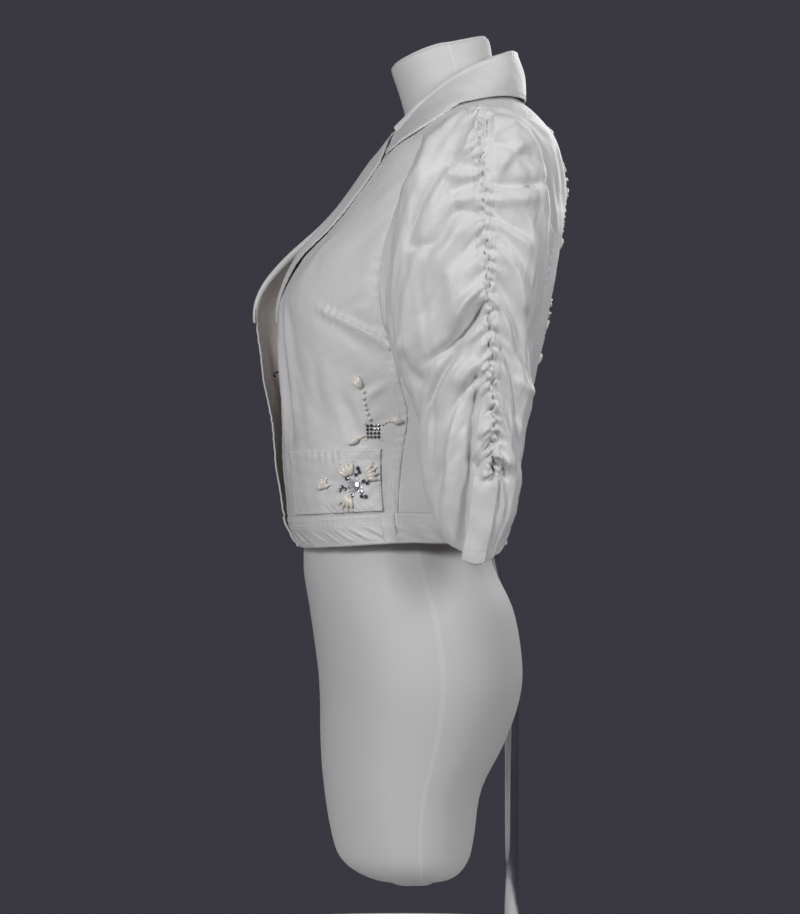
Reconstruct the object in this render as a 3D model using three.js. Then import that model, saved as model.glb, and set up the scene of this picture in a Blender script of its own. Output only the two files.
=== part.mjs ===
// Cropped white jacket with notched lapels and ruched elbow sleeves, on a limbless dress form.
// Millimetres, +Z up. The wearer faces -Y, the wearer's left is +X. The origin is under the base plate.
import * as THREE from 'three';

// Driving sizes
const CLOTH = 2;
const SEAM_GAP = 0.3;
const HALF_GAP = 0.25;
const BAND_CLOTH = 3;
const COLLAR_CLOTH = 2.4;
const FULL_TURN = 2 * Math.PI;
const BACK_TURN = 180;

// Colours from the photograph
const COTTON = { color: 0xe6e7e8, roughness: 0.85, metalness: 0 };
const FORM_PLASTIC = { color: 0xdcdbd8, roughness: 0.5, metalness: 0 };
const CHROME = { color: 0xc8cacd, roughness: 0.12, metalness: 1 };
const DARK_METAL = { color: 0x2c2b30, roughness: 0.35, metalness: 0.9 };
const PEARL = { color: 0xe9dcc4, roughness: 0.25, metalness: 0 };
const STEEL_PLATE = { color: 0xb5b8bb, roughness: 0.3, metalness: 1 };

// Gives the numbers of each row their column's name.
function table(names, rows) {
  const columns = names.split(' ');
  return rows.map((row) => Object.fromEntries(columns.map((column, k) => [column, row[k]])));
}

// Cross sections of the dress form, from the thighs to the neck.
// side: height at the side; front and back: Y of the centre front and back; frontZ and backZ: their height;
// half: half width; mid: Y of the widest point; square: 2 is an ellipse, more is squarer;
// cleft: depth of the groove at the centre back; part: depth of the groove at the centre front.
const FORM = table('at side front frontZ back backZ half mid square cleft part', [
  [0, 123, -16, 120, 38, 120, 92, 10, 2.2, 0, 0],
  [1, 127, -42, 123, 60, 123, 120, 9, 2.2, 12, 10],
  [2, 142, -65, 138, 73, 138, 138, 6, 2.2, 22, 16],
  [3, 166, -76, 162, 79, 162, 147, 4, 2.2, 26, 18],
  [4, 214, -84, 214, 87, 214, 156, 5, 2.2, 28, 15],
  [5, 262, -87, 262, 111, 262, 164, 14, 2.2, 30, 8],
  [6, 306, -87, 306, 127, 306, 171, 20, 2.2, 26, 2],
  [7, 345, -89, 345, 131, 345, 173, 21, 2.2, 20, 0],
  [8, 403, -97, 403, 122, 403, 166, 14, 2.2, 13, 0],
  [9, 450, -104, 450, 101, 450, 152, 3, 2.15, 5, 0],
  [10, 500, -101, 500, 88, 500, 134, -4, 2.1, 0, 0],
  [11, 545, -95, 545, 86, 545, 123, -3, 2.1, 0, 0],
  [12, 600, -98, 600, 104, 600, 129, 4, 2.15, 0, 0],
  [13, 655, -108, 655, 131, 650, 140, 15, 2.25, 0, 0],
  [14, 715, -119, 715, 146, 705, 146, 28, 2.35, 0, 0],
  [15, 770, -98, 768, 157, 770, 146, 38, 2.3, 0, 0],
  [16, 820, -66, 815, 165, 825, 150, 48, 2.25, 0, 0],
  [17, 865, -42, 848, 167, 862, 158, 58, 2.2, 0, 0],
  [18, 901.3, -22, 877, 160, 894.2, 167, 62, 2.2, 0, 0],
  [19, 916, -8, 895.3, 151, 916.3, 151, 62, 2.15, 0, 0],
  [20, 931.5, 2, 912.3, 138, 934.3, 113, 60, 2.1, 0, 0],
  [21, 947.8, 7, 922.3, 125, 948.3, 78, 58, 2.05, 0, 0],
  [22, 960, 6, 934, 110, 962, 58, 56, 2, 0, 0],
  [23, 982, 0, 957, 102, 988, 51, 51, 2, 0, 0],
  [24, 1003, -9, 984, 97, 1015, 49, 45, 2, 0, 0],
  [25, 1008, -7, 990, 93, 1021, 45, 44, 2, 0, 0],
]);
const FORM_RINGS = 34;
const FORM_SIDES = 32;
const CLEFT_WIDTH = 20;

// Cross sections of the jacket's outer surface, from the hem to the neck seam, with the form's columns.
const BODY = table('at side front frontZ back backZ half mid square', [
  [0, 480, -108, 471, 114, 474, 162, 5, 2.3],
  [1, 496, -117, 488, 113, 492, 160, 3, 2.3],
  [2, 511, -121, 504, 112, 508, 157, 2, 2.3],
  [3, 560, -126, 560, 112, 560, 152, 0, 2.3],
  [4, 610, -127, 610, 126, 610, 153, 4, 2.3],
  [5, 650, -129, 650, 142, 648, 158, 12, 2.35],
  [6, 700, -131, 700, 154, 698, 162, 22, 2.4],
  [7, 740, -128, 738, 162, 742, 164, 30, 2.4],
  [8, 780, -108, 778, 170, 785, 166, 38, 2.35],
  [9, 822, -77, 815, 176, 827, 169, 48, 2.3],
  [10, 868, -52, 848, 177, 864, 174, 58, 2.25],
  [11, 905, -31, 878, 170, 897, 178, 62, 2.2],
  [12, 918, -16, 896, 160, 918, 158, 62, 2.15],
  [13, 933, -4, 913, 146, 936, 118, 60, 2.1],
  [14, 949, 2, 925, 132, 950, 82, 58, 2.05],
  [15, 965, 2, 938, 119, 965, 66, 56, 2],
]);
const HEM = 0;
const BAND_TOP = 2;
const NECK_SEAM = 15;
const SHOULDER_TOP = 11.9;

// The armhole on that surface. at: degrees round the sleeve, from the shoulder to the front; turn: degrees
// round the body from the centre front; level: row of the body's table.
const ARMHOLE = [
  { at: 0, turn: 90, level: 11.9 },
  { at: 20, turn: 78, level: 11.65 },
  { at: 40, turn: 69, level: 11 },
  { at: 60, turn: 64.5, level: 10.1 },
  { at: 80, turn: 64.5, level: 9.2 },
  { at: 100, turn: 68, level: 8.1 },
  { at: 120, turn: 72, level: 7 },
  { at: 140, turn: 76.6, level: 5.96 },
  { at: 160, turn: 84, level: 5.25 },
  { at: 180, turn: 93, level: 4.85 },
  { at: 200, turn: 102, level: 5.05 },
  { at: 220, turn: 109, level: 5.9 },
  { at: 240, turn: 115, level: 7.2 },
  { at: 260, turn: 119, level: 8.5 },
  { at: 280, turn: 120.8, level: 9.6 },
  { at: 300, turn: 119, level: 10.4 },
  { at: 320, turn: 114, level: 11 },
  { at: 340, turn: 103, level: 11.6 },
  { at: 360, turn: 90, level: 11.9 },
];
const FRONT_CORNER = 140;
const BACK_CORNER = 280;

// Seams of the body. at: row of the body's table; turn: degrees from the centre front.
const SIDE_FRONT_SEAM = [
  { at: 0, turn: 84 },
  { at: 2, turn: 86 },
  { at: 3, turn: 88 },
  { at: 4, turn: 89 },
  { at: 4.7, turn: 85.5 },
  { at: 5.5, turn: 80.5 },
  { at: 5.96, turn: 76.6 },
];
const BACK_SEAM = [
  { at: 0, turn: 138 },
  { at: 2, turn: 140 },
  { at: 5, turn: 144 },
  { at: 7, turn: 148 },
  { at: 8.3, turn: 148 },
  { at: 9, turn: 137 },
  { at: 9.6, turn: 121 },
];
// The front edge, the line where the lapel turns back, then the neckline. x: distance from the centre
// plane; flare: how far the wearer's right edge stands forward of the left one.
const FRONT_EDGE = [
  { at: 0, x: 2.5, flare: 2 },
  { at: 2, x: 2.5, flare: 5 },
  { at: 4, x: 2.5, flare: 13 },
  { at: 5.4, x: 2.5, flare: 21 },
  { at: 6.4, x: 4, flare: 25 },
  { at: 7.3, x: 8, flare: 24 },
  { at: 8.3, x: 16, flare: 14 },
  { at: 9.5, x: 25, flare: 6 },
  { at: 11, x: 31, flare: 2 },
  { at: 13, x: 36, flare: 0 },
  { at: 13.6, x: 48, flare: 0 },
  { at: 14.2, x: 59, flare: 0 },
  { at: 15, x: 65.6, flare: 0 },
];
const FLARE_WIDTH = 46;

// Soft folds on each front. turn and level: top end; turn2 and level2: foot; width and depth in mm.
const FRONT_FOLDS = [
  { turn: 9, level: 7, turn2: 24, level2: 3.3, width: 9, depth: -4 },
  { turn: 16, level: 6.8, turn2: 33, level2: 3.4, width: 10, depth: 3 },
  { turn: 6, level: 6, turn2: 17, level2: 3.2, width: 7, depth: 2.5 },
  { turn: 60, level: 4.6, turn2: 74, level2: 3.2, width: 11, depth: -2.5 },
];
const DART = { turn: 40, level: 6.7, turn2: 80, level2: 5.6, width: 5, depth: 1.6 };
const BACK_FOLDS = [
  { turn: 168, level: 6.8, turn2: 160, level2: 3, width: 12, depth: -3 },
  { turn: 192, level: 6.4, turn2: 199, level2: 3, width: 12, depth: -3 },
  { turn: 150, level: 11, turn2: 161, level2: 9, width: 10, depth: -2 },
  { turn: 210, level: 11, turn2: 199, level2: 9, width: 10, depth: -2 },
];

// The sleeve's rings, from the armhole to the hem, by their outer, underarm, front and back points.
const SLEEVE = table('at outX outY outZ inX inY inZ frX frY frZ bkX bkY bkZ', [
  [2, 193, 66, 921, 168, 30, 643, 182, -17, 778, 188, 134, 800],
  [3, 216, 66, 914, 173, 38, 636, 197, -21, 760, 203, 139, 790],
  [4, 237, 68, 884, 175, 46, 628, 206, -19, 735, 212, 138, 770],
  [5, 248, 70, 838, 176, 53, 618, 210, -16, 706, 215, 133, 735],
  [6, 253, 72, 787, 176.5, 58, 606, 212, -9, 680, 216, 127, 704],
  [7, 254, 74, 737, 177, 60, 591, 213, 1, 652, 216, 123, 672],
  [8, 253, 76, 687, 177, 60, 574, 213, 9, 622, 215, 119, 640],
  [9, 251, 78, 637, 177, 58, 555, 212, 11, 592, 214, 114, 605],
  [10, 249, 80, 592, 176, 58, 535, 211, 13, 562, 212, 108, 570],
  [11, 247, 79, 550, 175, 58, 516, 210, 18, 532, 210, 103, 538],
  [12, 244, 73, 506, 174, 60, 499, 208, 27, 506, 208, 99, 508],
  [13, 240, 63, 460, 174, 64, 486, 206, 42, 482, 206, 96, 485],
]);
const SLEEVE_END = 13;
const ARMHOLE_RISE = 5;
const ARMHOLE_CENTRE = { y: 60, z: 780 };
const ARMHOLE_INSET = 0.95;
const ARMHOLE_LEAVE = 3;
const CHANNEL_HALF = 11;
const CHANNEL_END = 11.1;
const GATHERS = 26;
const GATHER_DEPTH = 2.2;
const GATHER_STATIONS = 3 * GATHERS;

// Folds that run out from the ruching. at: row where the fold leaves the channel; reach: degrees round the
// sleeve to its far end; fall: rows that it drops on the way; width in rows; depth in mm.
const FRONT_SLEEVE_FOLDS = [
  { at: 2.6, reach: 60, fall: 1.6, width: 0.32, depth: -3 },
  { at: 3.5, reach: 80, fall: 1.4, width: 0.3, depth: -4 },
  { at: 4.2, reach: 66, fall: 0.5, width: 0.24, depth: 4 },
  { at: 4.9, reach: 88, fall: 1.3, width: 0.3, depth: -4 },
  { at: 5.5, reach: 60, fall: 0.8, width: 0.24, depth: 4 },
  { at: 6.1, reach: 76, fall: 1.6, width: 0.26, depth: -4 },
  { at: 6.7, reach: 74, fall: 1.9, width: 0.26, depth: 4.5 },
  { at: 7.3, reach: 96, fall: 1.5, width: 0.3, depth: -7 },
  { at: 7.9, reach: 70, fall: 2.2, width: 0.26, depth: 4 },
  { at: 8.5, reach: 62, fall: 2.4, width: 0.28, depth: -5 },
  { at: 9.1, reach: 56, fall: 2.6, width: 0.26, depth: 4 },
  { at: 9.8, reach: 44, fall: 2.6, width: 0.28, depth: -6 },
  { at: 10.5, reach: 34, fall: 2.2, width: 0.26, depth: 4 },
];
const BACK_SLEEVE_FOLDS = [
  { at: 2.8, reach: 58, fall: 0.6, width: 0.26, depth: -4 },
  { at: 3.5, reach: 74, fall: -0.5, width: 0.28, depth: 5 },
  { at: 4.1, reach: 66, fall: 0.4, width: 0.24, depth: -4 },
  { at: 4.8, reach: 80, fall: 1, width: 0.28, depth: 4 },
  { at: 5.5, reach: 60, fall: 1.3, width: 0.26, depth: -4 },
  { at: 6.2, reach: 76, fall: 1.8, width: 0.28, depth: 4 },
  { at: 6.9, reach: 66, fall: 2, width: 0.28, depth: -5 },
  { at: 7.6, reach: 58, fall: 2.4, width: 0.26, depth: 4 },
  { at: 8.3, reach: 56, fall: 2.7, width: 0.28, depth: -5 },
  { at: 9, reach: 50, fall: 2.6, width: 0.26, depth: 4 },
  { at: 9.8, reach: 46, fall: 2.4, width: 0.28, depth: -5 },
  { at: 10.5, reach: 40, fall: 1.9, width: 0.24, depth: 3 },
];

// The collar from the centre back to its front end: the top of its fold, and its outer edge, which lies
// over the body at a turn and a level, lifted by some mm.
const COLLAR = table('at foldX foldY foldZ edgeTurn edgeLevel edgeLift', [
  [0, 0, 120, 1007, 180, 13.9, 6],
  [0.3, 46, 106, 999, 130, 13.8, 6.5],
  [0.6, 62, 56, 976, 93, 13.2, 6],
  [0.8, 53, 14, 943.5, 62, 12.1, 7],
  [0.9, 43, 2.5, 931.5, 48, 11.45, 8.5],
  [1, 33, -8, 922, 33, 10.95, 9],
]);
const COLLAR_STATIONS = 24;
const COLLAR_SIDE = 0.6;
const COLLAR_END_LEVEL = 13;
const COLLAR_RADIUS = 4.4;
const COLLAR_LIFT = 4;
const COLLAR_CLEAR = 2.2;
const COLLAR_SET_IN = 6.5;

// The lapel. at: row of the body's table; reach: its width from the turn line in mm; lift: space under it;
// radius: of the turn; fall: rows that its outer edge lies lower than the turn line.
const LAPEL = table('at reach lift radius fall', [
  [6.3, 4, 0.4, 2.5, 0],
  [7, 12, 1, 3, 0.1],
  [8, 32, 2.2, 4.2, 0.3],
  [9, 47, 3, 4.2, 0.6],
  [10, 56, 2.5, 4.2, 0.9],
  [11, 62, 2, 4.2, 1.2],
  [12, 67, 2, 4.2, 1.6],
  [12.75, 70, 2, 4.2, 2],
]);
const LAPEL_BREAK = 6.3;
const LAPEL_TOP = 12.75;

// Patch pockets, side tabs and the vent tab above the sleeve's hem
const POCKET = { turnIn: 24, turnOut: 80, bottom: 2.06, top: 3.28, cloth: 1.6, rise: 2.9 };
const TAB = { turnIn: 79, turnOut: 84, cloth: 3 };
const VENT = { width: 30, top: 11, foot: 12.96, cloth: 1.6, rise: 1.2, across: 6 };

// Bead flowers. level and turn: centre; radius and height in mm
const FLOWERS = [
  { name: 'left_pocket_beads', level: 2.6, turn: 67, radius: 20, rise: 3.8, petals: 7 },
  { name: 'right_pocket_beads', level: 2.6, turn: -67, radius: 20, rise: 3.8, petals: 7 },
  { name: 'back_upper_beads', level: 10.1, turn: 180, radius: 26, rise: 0.7, petals: 8 },
  { name: 'back_lower_beads', level: 6.6, turn: 180, radius: 22, rise: 0.7, petals: 8 },
];
const BEAD_HEIGHT = 3.2;

// Stand
const POLE = { y: 121, radius: 7.5, top: 326 };
const ROD_RADIUS = 4;
const PLATE = { width: 34, height: 26, thick: 2.5, y: 88.9, z: 520 };
const BASE = { radius: 175, thick: 10, y: 38, bevel: 2 };
// The rod's route up the centre back, by Y and Z
const ROD_ROUTE = [
  [121, POLE.top], [120, 345], [117, 375], [113.6, 405], [106.5, 437], [101, 466], [98, 495], [97, 510],
];
const HOOK = {
  x: 1.2, radius: 0.9, route: [[-126, 658], [-131, 659.5], [-135, 658], [-136, 655.5], [-133.5, 654.5]],
};

const radians = (degrees) => (degrees * Math.PI) / 180;
const lerp = (a, b, t) => a + (b - a) * t;
const smooth = (t) => {
  const s = Math.min(1, Math.max(0, t));
  return s * s * (3 - 2 * s);
};

// Reads a table as smooth curves: every column follows a cubic between the rows on either side.
function readTable(rows, value) {
  const last = rows.length - 1;
  let k = 0;
  while (k < last - 1 && rows[k + 1].at < value) k += 1;
  const [a, b] = [rows[k], rows[k + 1]];
  const before = rows[Math.max(k - 1, 0)];
  const after = rows[Math.min(k + 2, last)];
  const span = b.at - a.at;
  const t = Math.min(1, Math.max(0, (value - a.at) / span));
  const result = {};
  for (const column of Object.keys(a)) {
    const slopeA = ((b[column] - before[column]) / (b.at - before.at)) * span;
    const slopeB = ((after[column] - a[column]) / (after.at - a.at)) * span;
    const t2 = t * t;
    const t3 = t2 * t;
    result[column] = (2 * t3 - 3 * t2 + 1) * a[column] + (t3 - 2 * t2 + t) * slopeA
      + (3 * t2 - 2 * t3) * b[column] + (t3 - t2) * slopeB;
  }
  return result;
}

// A point of a cross section: a superellipse whose front and back lie at their own depths and heights.
const HEIGHT_POWER = 1.3;
function ringPoint(row, turn) {
  const s = Math.sin(turn);
  const c = Math.cos(turn);
  const power = 2 / row.square;
  const toFront = c > 0;
  const depth = (toFront ? row.front : row.back) - row.mid;
  const height = (toFront ? row.frontZ : row.backZ) - row.side;
  return new THREE.Vector3(
    row.half * Math.sign(s) * Math.abs(s) ** power,
    row.mid + depth * Math.abs(c) ** power,
    row.side + height * Math.abs(c) ** HEIGHT_POWER,
  );
}

// The jacket's outer surface, with the wearer's right front edge standing forward.
function bodyPoint(turnDegrees, level) {
  const point = ringPoint(readTable(BODY, level), radians(turnDegrees));
  const rightSide = point.x < 0 && point.y < 0;
  if (rightSide) {
    const { flare } = readTable(FRONT_EDGE, level);
    point.y -= flare * smooth(1 + point.x / FLARE_WIDTH);
  }
  return point;
}

// Unit normal of a surface of two parameters, by small differences.
function normalAt(surface, u, v, du, dv) {
  const acrossU = surface(u + du, v).sub(surface(u - du, v));
  const acrossV = surface(u, v + dv).sub(surface(u, v - dv));
  return acrossU.cross(acrossV).normalize();
}
const bodyNormal = (turn, level) => normalAt(bodyPoint, turn, level, 0.3, 0.01);

// A point on the body moved along the surface by a distance round it and raised by a height.
function besideBody(turn, level, along, height) {
  const step = 0.5;
  const perDegree = bodyPoint(turn + step, level).distanceTo(bodyPoint(turn - step, level)) / (2 * step);
  const moved = turn + along / perDegree;
  return bodyPoint(moved, level).addScaledVector(bodyNormal(moved, level), height);
}

// Closes a wall between an outer and an inner grid of points and turns its faces outwards.
function closedWall(outer, inner) {
  const rows = outer.length;
  const columns = outer[0].length;
  const points = [...outer.flat(), ...inner.flat()];
  const shift = rows * columns;
  const index = [];
  const quad = (a, b, c, d) => index.push(a, b, c, a, c, d);
  for (let j = 0; j < rows - 1; j += 1) {
    for (let i = 0; i < columns - 1; i += 1) {
      const a = j * columns + i;
      quad(a, a + 1, a + 1 + columns, a + columns);
      quad(a + shift, a + columns + shift, a + 1 + columns + shift, a + 1 + shift);
    }
  }
  const rim = [];
  for (let i = 0; i < columns - 1; i += 1) rim.push(i);
  for (let j = 0; j < rows - 1; j += 1) rim.push(j * columns + columns - 1);
  for (let i = columns - 1; i > 0; i -= 1) rim.push((rows - 1) * columns + i);
  for (let j = rows - 1; j > 0; j -= 1) rim.push(j * columns);
  rim.forEach((a, k) => {
    const b = rim[(k + 1) % rim.length];
    quad(b, a, a + shift, b + shift);
  });
  return closedGeometry(points, index);
}

// Makes a geometry from points and triangles, turned inside out if its volume is negative.
function closedGeometry(points, index) {
  let volume = 0;
  const cross = new THREE.Vector3();
  for (let k = 0; k < index.length; k += 3) {
    const [a, b, c] = [points[index[k]], points[index[k + 1]], points[index[k + 2]]];
    volume += a.dot(cross.crossVectors(b, c));
  }
  const ordered = volume > 0 ? index : index.slice().reverse();
  const geometry = new THREE.BufferGeometry();
  const numbers = points.flatMap((p) => p.toArray());
  geometry.setAttribute('position', new THREE.Float32BufferAttribute(numbers, 3));
  geometry.setIndex(ordered);
  return geometry;
}

const group = new THREE.Group();
function addMesh(name, geometry, finish) {
  const mesh = new THREE.Mesh(geometry, new THREE.MeshStandardMaterial(finish));
  mesh.name = name;
  group.add(mesh);
}

// A cloth piece on the body: rows of {turn, level} points, each with its raise, as a wall of that cloth.
function bodyWall(name, grid, cloth, finish = COTTON) {
  const outer = grid.map((row) => row.map(({ turn, level, rise }) => besideBody(turn, level, 0, rise)));
  const inner = grid.map((row) => row.map(({ turn, level, rise, under }) => (
    besideBody(turn, level, 0, (under ?? rise) - cloth))));
  addMesh(name, closedWall(outer, inner), finish);
}

// Height of one fold at a place on the body: a soft ridge or trough along a line that fades at both ends.
function foldHeight(fold, turn, level) {
  const away = (fold.level - level) / (fold.level - fold.level2);
  if (away < -0.2 || away > 1.2) return 0;
  const line = lerp(fold.turn, fold.turn2, away);
  const beside = ((turn - line) * 2.4) / fold.width;
  const ends = smooth((away + 0.2) / 0.5) * smooth((1.2 - away) / 0.5);
  return fold.depth * Math.exp(-beside * beside) * ends;
}
const foldsHeight = (folds, turn, level) => folds.reduce((sum, f) => sum + foldHeight(f, turn, level), 0);
function dartHeight(turn, level) {
  const away = (turn - DART.turn) / (DART.turn2 - DART.turn);
  if (away < 0 || away > 1) return 0;
  const beside = ((level - lerp(DART.level, DART.level2, away)) * 42) / DART.width;
  return DART.depth * Math.exp(-beside * beside) * smooth(away * 3);
}

// Turn of the front edge or lapel line, where the body is x wide.
function edgeTurn(level) {
  const row = readTable(BODY, level);
  const { x } = readTable(FRONT_EDGE, level);
  return (Math.asin((x / row.half) ** (row.square / 2)) * 180) / Math.PI;
}

// Degrees of turn for a distance along the body.
function turnFor(distance, turn, level) {
  return distance / bodyPoint(turn + 0.5, level).distanceTo(bodyPoint(turn - 0.5, level));
}

const PANEL_STEPS = 10;
const ARM_STEP = 20;
const SHOULDER_STEPS = 4;
const seq = (count) => Array.from({ length: count + 1 }, (_, k) => k / count);

// Rows of a front or back panel: the seam below the armhole, the armhole, then the shoulder seam.
function panelRows(seam, corner, top) {
  const cornerLevel = readTable(ARMHOLE, corner).level;
  const below = seq(PANEL_STEPS).map((t) => {
    const level = lerp(BAND_TOP, cornerLevel, t);
    return { level, turn: readTable(seam, level).turn };
  });
  const armSteps = Math.abs(top - corner) / ARM_STEP;
  const beside = seq(armSteps).slice(1).map((t) => readTable(ARMHOLE, lerp(corner, top, t)));
  const above = seq(SHOULDER_STEPS).slice(1).map((t) => (
    { turn: 90, level: lerp(SHOULDER_TOP, NECK_SEAM, t) }));
  return [...below, ...beside, ...above];
}

// Left and right fronts
const FRONT_COLUMNS = 11;
const clearSeams = (row, k, rows) => {
  const bottom = k === 0 ? 0.006 : 0;
  const top = k === rows - 1 ? 0.012 : 0;
  return row.level + bottom - top;
};
function frontPanel(name, side) {
  const rows = panelRows(SIDE_FRONT_SEAM, FRONT_CORNER, 0);
  const grid = rows.map((row, k) => {
    const level = clearSeams(row, k, rows.length);
    const first = edgeTurn(level) + turnFor(HALF_GAP, 20, level);
    const last = row.turn - turnFor(HALF_GAP, row.turn, level);
    return seq(FRONT_COLUMNS).map((t) => {
      const turn = lerp(first, last, t);
      const fade = smooth((1 - t) * 6) * smooth((level - BAND_TOP) * 2);
      const soft = foldsHeight(FRONT_FOLDS, turn, level) * fade;
      const dart = dartHeight(turn, level) * smooth((1 - t) * 12 + 0.3);
      return { turn: side * turn, level, rise: soft + dart, under: soft };
    });
  });
  bodyWall(name, side > 0 ? grid : grid.map((row) => row.slice().reverse()), CLOTH);
}
frontPanel('left_front', 1);
frontPanel('right_front', -1);

// Side panels, cut away above by the armhole
const SIDE_COLUMNS = (BACK_CORNER - FRONT_CORNER) / ARM_STEP;
function sidePanel(name, side) {
  const grid = seq(PANEL_STEPS).map((s) => seq(SIDE_COLUMNS).map((u) => {
    const arm = readTable(ARMHOLE, lerp(FRONT_CORNER, BACK_CORNER, u));
    const level = lerp(BAND_TOP + 0.006, arm.level - (u > 0 && u < 1 ? 0.006 : 0), s);
    const between = (at) => lerp(readTable(SIDE_FRONT_SEAM, at).turn, readTable(BACK_SEAM, at).turn, u);
    const turn = between(level) + s * s * (arm.turn - between(arm.level));
    const inward = u === 0 || u === 1 ? 1 - (2.6 - 0.8 * s ** 8) * u : (1 - 2 * u) * (1 - s);
    const inset = turnFor(HALF_GAP, turn, level) * inward;
    return { turn: side * (turn + inset), level, rise: 0 };
  }));
  bodyWall(name, side > 0 ? grid : grid.map((row) => row.slice().reverse()), CLOTH);
}
sidePanel('left_side_panel', 1);
sidePanel('right_side_panel', -1);

// Back
const BACK_COLUMNS = 14;
function backPanel() {
  const rows = panelRows(BACK_SEAM, BACK_CORNER, 360);
  const grid = rows.map((row, k) => {
    const level = clearSeams(row, k, rows.length);
    const reach = BACK_TURN - row.turn - turnFor(HALF_GAP, row.turn, level);
    return seq(BACK_COLUMNS).map((t) => {
      const turn = BACK_TURN + lerp(-reach, reach, t);
      const fade = smooth(t * 5) * smooth((1 - t) * 5) * smooth((level - BAND_TOP) * 2);
      return { turn, level, rise: foldsHeight(BACK_FOLDS, turn, level) * fade };
    });
  });
  bodyWall('back', grid, CLOTH);
}
backPanel();

// Waistband, puckered by its stitching
const BAND_ROWS = 3;
function band(name, from, to, columns) {
  const grid = seq(BAND_ROWS).map((s) => seq(columns).map((t) => {
    const turn = lerp(from, to, t);
    const level = lerp(HEM, BAND_TOP - 0.006, s);
    const twist = Math.sin(turn * 0.75 + s * 2.6) * 0.9 + Math.sin(turn * 0.31 - s * 1.7) * 0.5;
    const rise = 0.9 + twist * Math.sin(Math.PI * s) * 0.9;
    return { turn, level, rise, under: 0.9 };
  }));
  bodyWall(name, grid, BAND_CLOTH);
}
const bandStart = edgeTurn(1) + 0.1;
const FRONT_BAND_STEPS = 13;
const BACK_BAND_STEPS = 28;
const TAB_GAP = 0.15;
band('left_waistband', bandStart, TAB.turnIn - TAB_GAP, FRONT_BAND_STEPS);
band('right_waistband', -TAB.turnIn + TAB_GAP, -bandStart, FRONT_BAND_STEPS);
band('back_waistband', TAB.turnOut + TAB_GAP, 360 - TAB.turnOut - TAB_GAP, BACK_BAND_STEPS);
function sideTab(name, from, to) {
  const grid = seq(2).map((s) => seq(2).map((t) => (
    { turn: lerp(from, to, t), level: lerp(HEM + 0.1, BAND_TOP - 0.006, s), rise: 1.6 })));
  bodyWall(name, grid, TAB.cloth);
}
sideTab('left_side_tab', TAB.turnIn, TAB.turnOut);
sideTab('right_side_tab', -TAB.turnOut, -TAB.turnIn);

// Patch pockets, made from the fronts' own points moved out
function pocket(name, side) {
  const grid = seq(5).map((s) => seq(8).map((t) => {
    const turn = lerp(POCKET.turnIn, POCKET.turnOut, t);
    const level = lerp(POCKET.bottom, POCKET.top + 0.05 * t, s);
    const soft = foldsHeight(FRONT_FOLDS, turn, level) * smooth((level - BAND_TOP) * 2);
    return { turn: side * turn, level, rise: POCKET.rise + Math.max(soft, 0) };
  }));
  bodyWall(name, side > 0 ? grid : grid.map((row) => row.slice().reverse()), POCKET.cloth);
}
pocket('left_pocket', 1);
pocket('right_pocket', -1);

// Lapels: the cloth turns over the lapel line in a half circle, then lies on the front
const LAPEL_STEPS = 11;
const TURN_STEPS = 4;
const FLAT_STEPS = 4;
function lapel(name, side) {
  const outer = [];
  const inner = [];
  for (const s of seq(LAPEL_STEPS)) {
    const level = lerp(LAPEL_BREAK, LAPEL_TOP, s);
    const { reach, lift, radius, fall } = readTable(LAPEL, level);
    const place = (along, height, drop) => (
      besideBody(side * edgeTurn(level - drop), level - drop, side * along, height));
    const profile = (r) => {
      const around = seq(TURN_STEPS).map((t) => {
        const angle = lerp(-Math.PI / 2, Math.PI / 2, t);
        return place(-r * Math.cos(angle) - HALF_GAP, -CLOTH + radius + r * Math.sin(angle), 0);
      });
      const flat = seq(FLAT_STEPS).slice(1).map((t) => (
        place(reach * t, -CLOTH + radius + r + lift * Math.sin(Math.PI * Math.min(1, t * 0.8)), fall * t)));
      return [...around, ...flat];
    };
    outer.push(profile(radius));
    inner.push(profile(radius - CLOTH));
  }
  addMesh(name, closedWall(outer, inner), COTTON);
}
lapel('left_lapel', 1);
lapel('right_lapel', -1);

// Collar: up from the neck seam, over the fold in a half circle, then down to its outer edge
function collarSeam(along) {
  if (along <= COLLAR_SIDE) {
    const turn = lerp(BACK_TURN, edgeTurn(NECK_SEAM), along / COLLAR_SIDE);
    return besideBody(turn, NECK_SEAM, 0, -CLOTH).add(new THREE.Vector3(0, 0, COLLAR_CLEAR));
  }
  const past = (along - COLLAR_SIDE) / (1 - COLLAR_SIDE);
  const level = lerp(NECK_SEAM, COLLAR_END_LEVEL, past);
  return besideBody(edgeTurn(level), level, -COLLAR_SET_IN * smooth(past * 4), -CLOTH)
    .add(new THREE.Vector3(0, 0, COLLAR_CLEAR * smooth(1.4 * (1 - past))));
}
const STAND_END = 0.25;
const FOLD_END = 0.5;
function collarPoint(station, across) {
  const along = Math.abs(station);
  const row = readTable(COLLAR, along);
  const seam = collarSeam(along);
  const top = new THREE.Vector3(row.foldX, row.foldY, row.foldZ);
  const up = top.clone().sub(seam);
  const stand = Math.max(0, up.length() - COLLAR_RADIUS);
  up.normalize();
  const edge = besideBody(row.edgeTurn, row.edgeLevel, 0, row.edgeLift);
  const out = edge.clone().sub(seam);
  out.addScaledVector(up, -out.dot(up)).normalize();
  const point = seam.clone().addScaledVector(up, stand * Math.min(1, across / STAND_END));
  if (across > STAND_END) {
    const angle = Math.PI * Math.min(1, (across - STAND_END) / (FOLD_END - STAND_END));
    point.addScaledVector(up, COLLAR_RADIUS * Math.sin(angle));
    point.addScaledVector(out, COLLAR_RADIUS * (1 - Math.cos(angle)));
  }
  if (across > FOLD_END) {
    const t = (across - FOLD_END) / (1 - FOLD_END);
    point.lerp(edge, t).addScaledVector(out, COLLAR_LIFT * Math.sin(Math.PI * t));
  }
  point.x *= Math.sign(station) || 1;
  return point;
}
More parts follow.
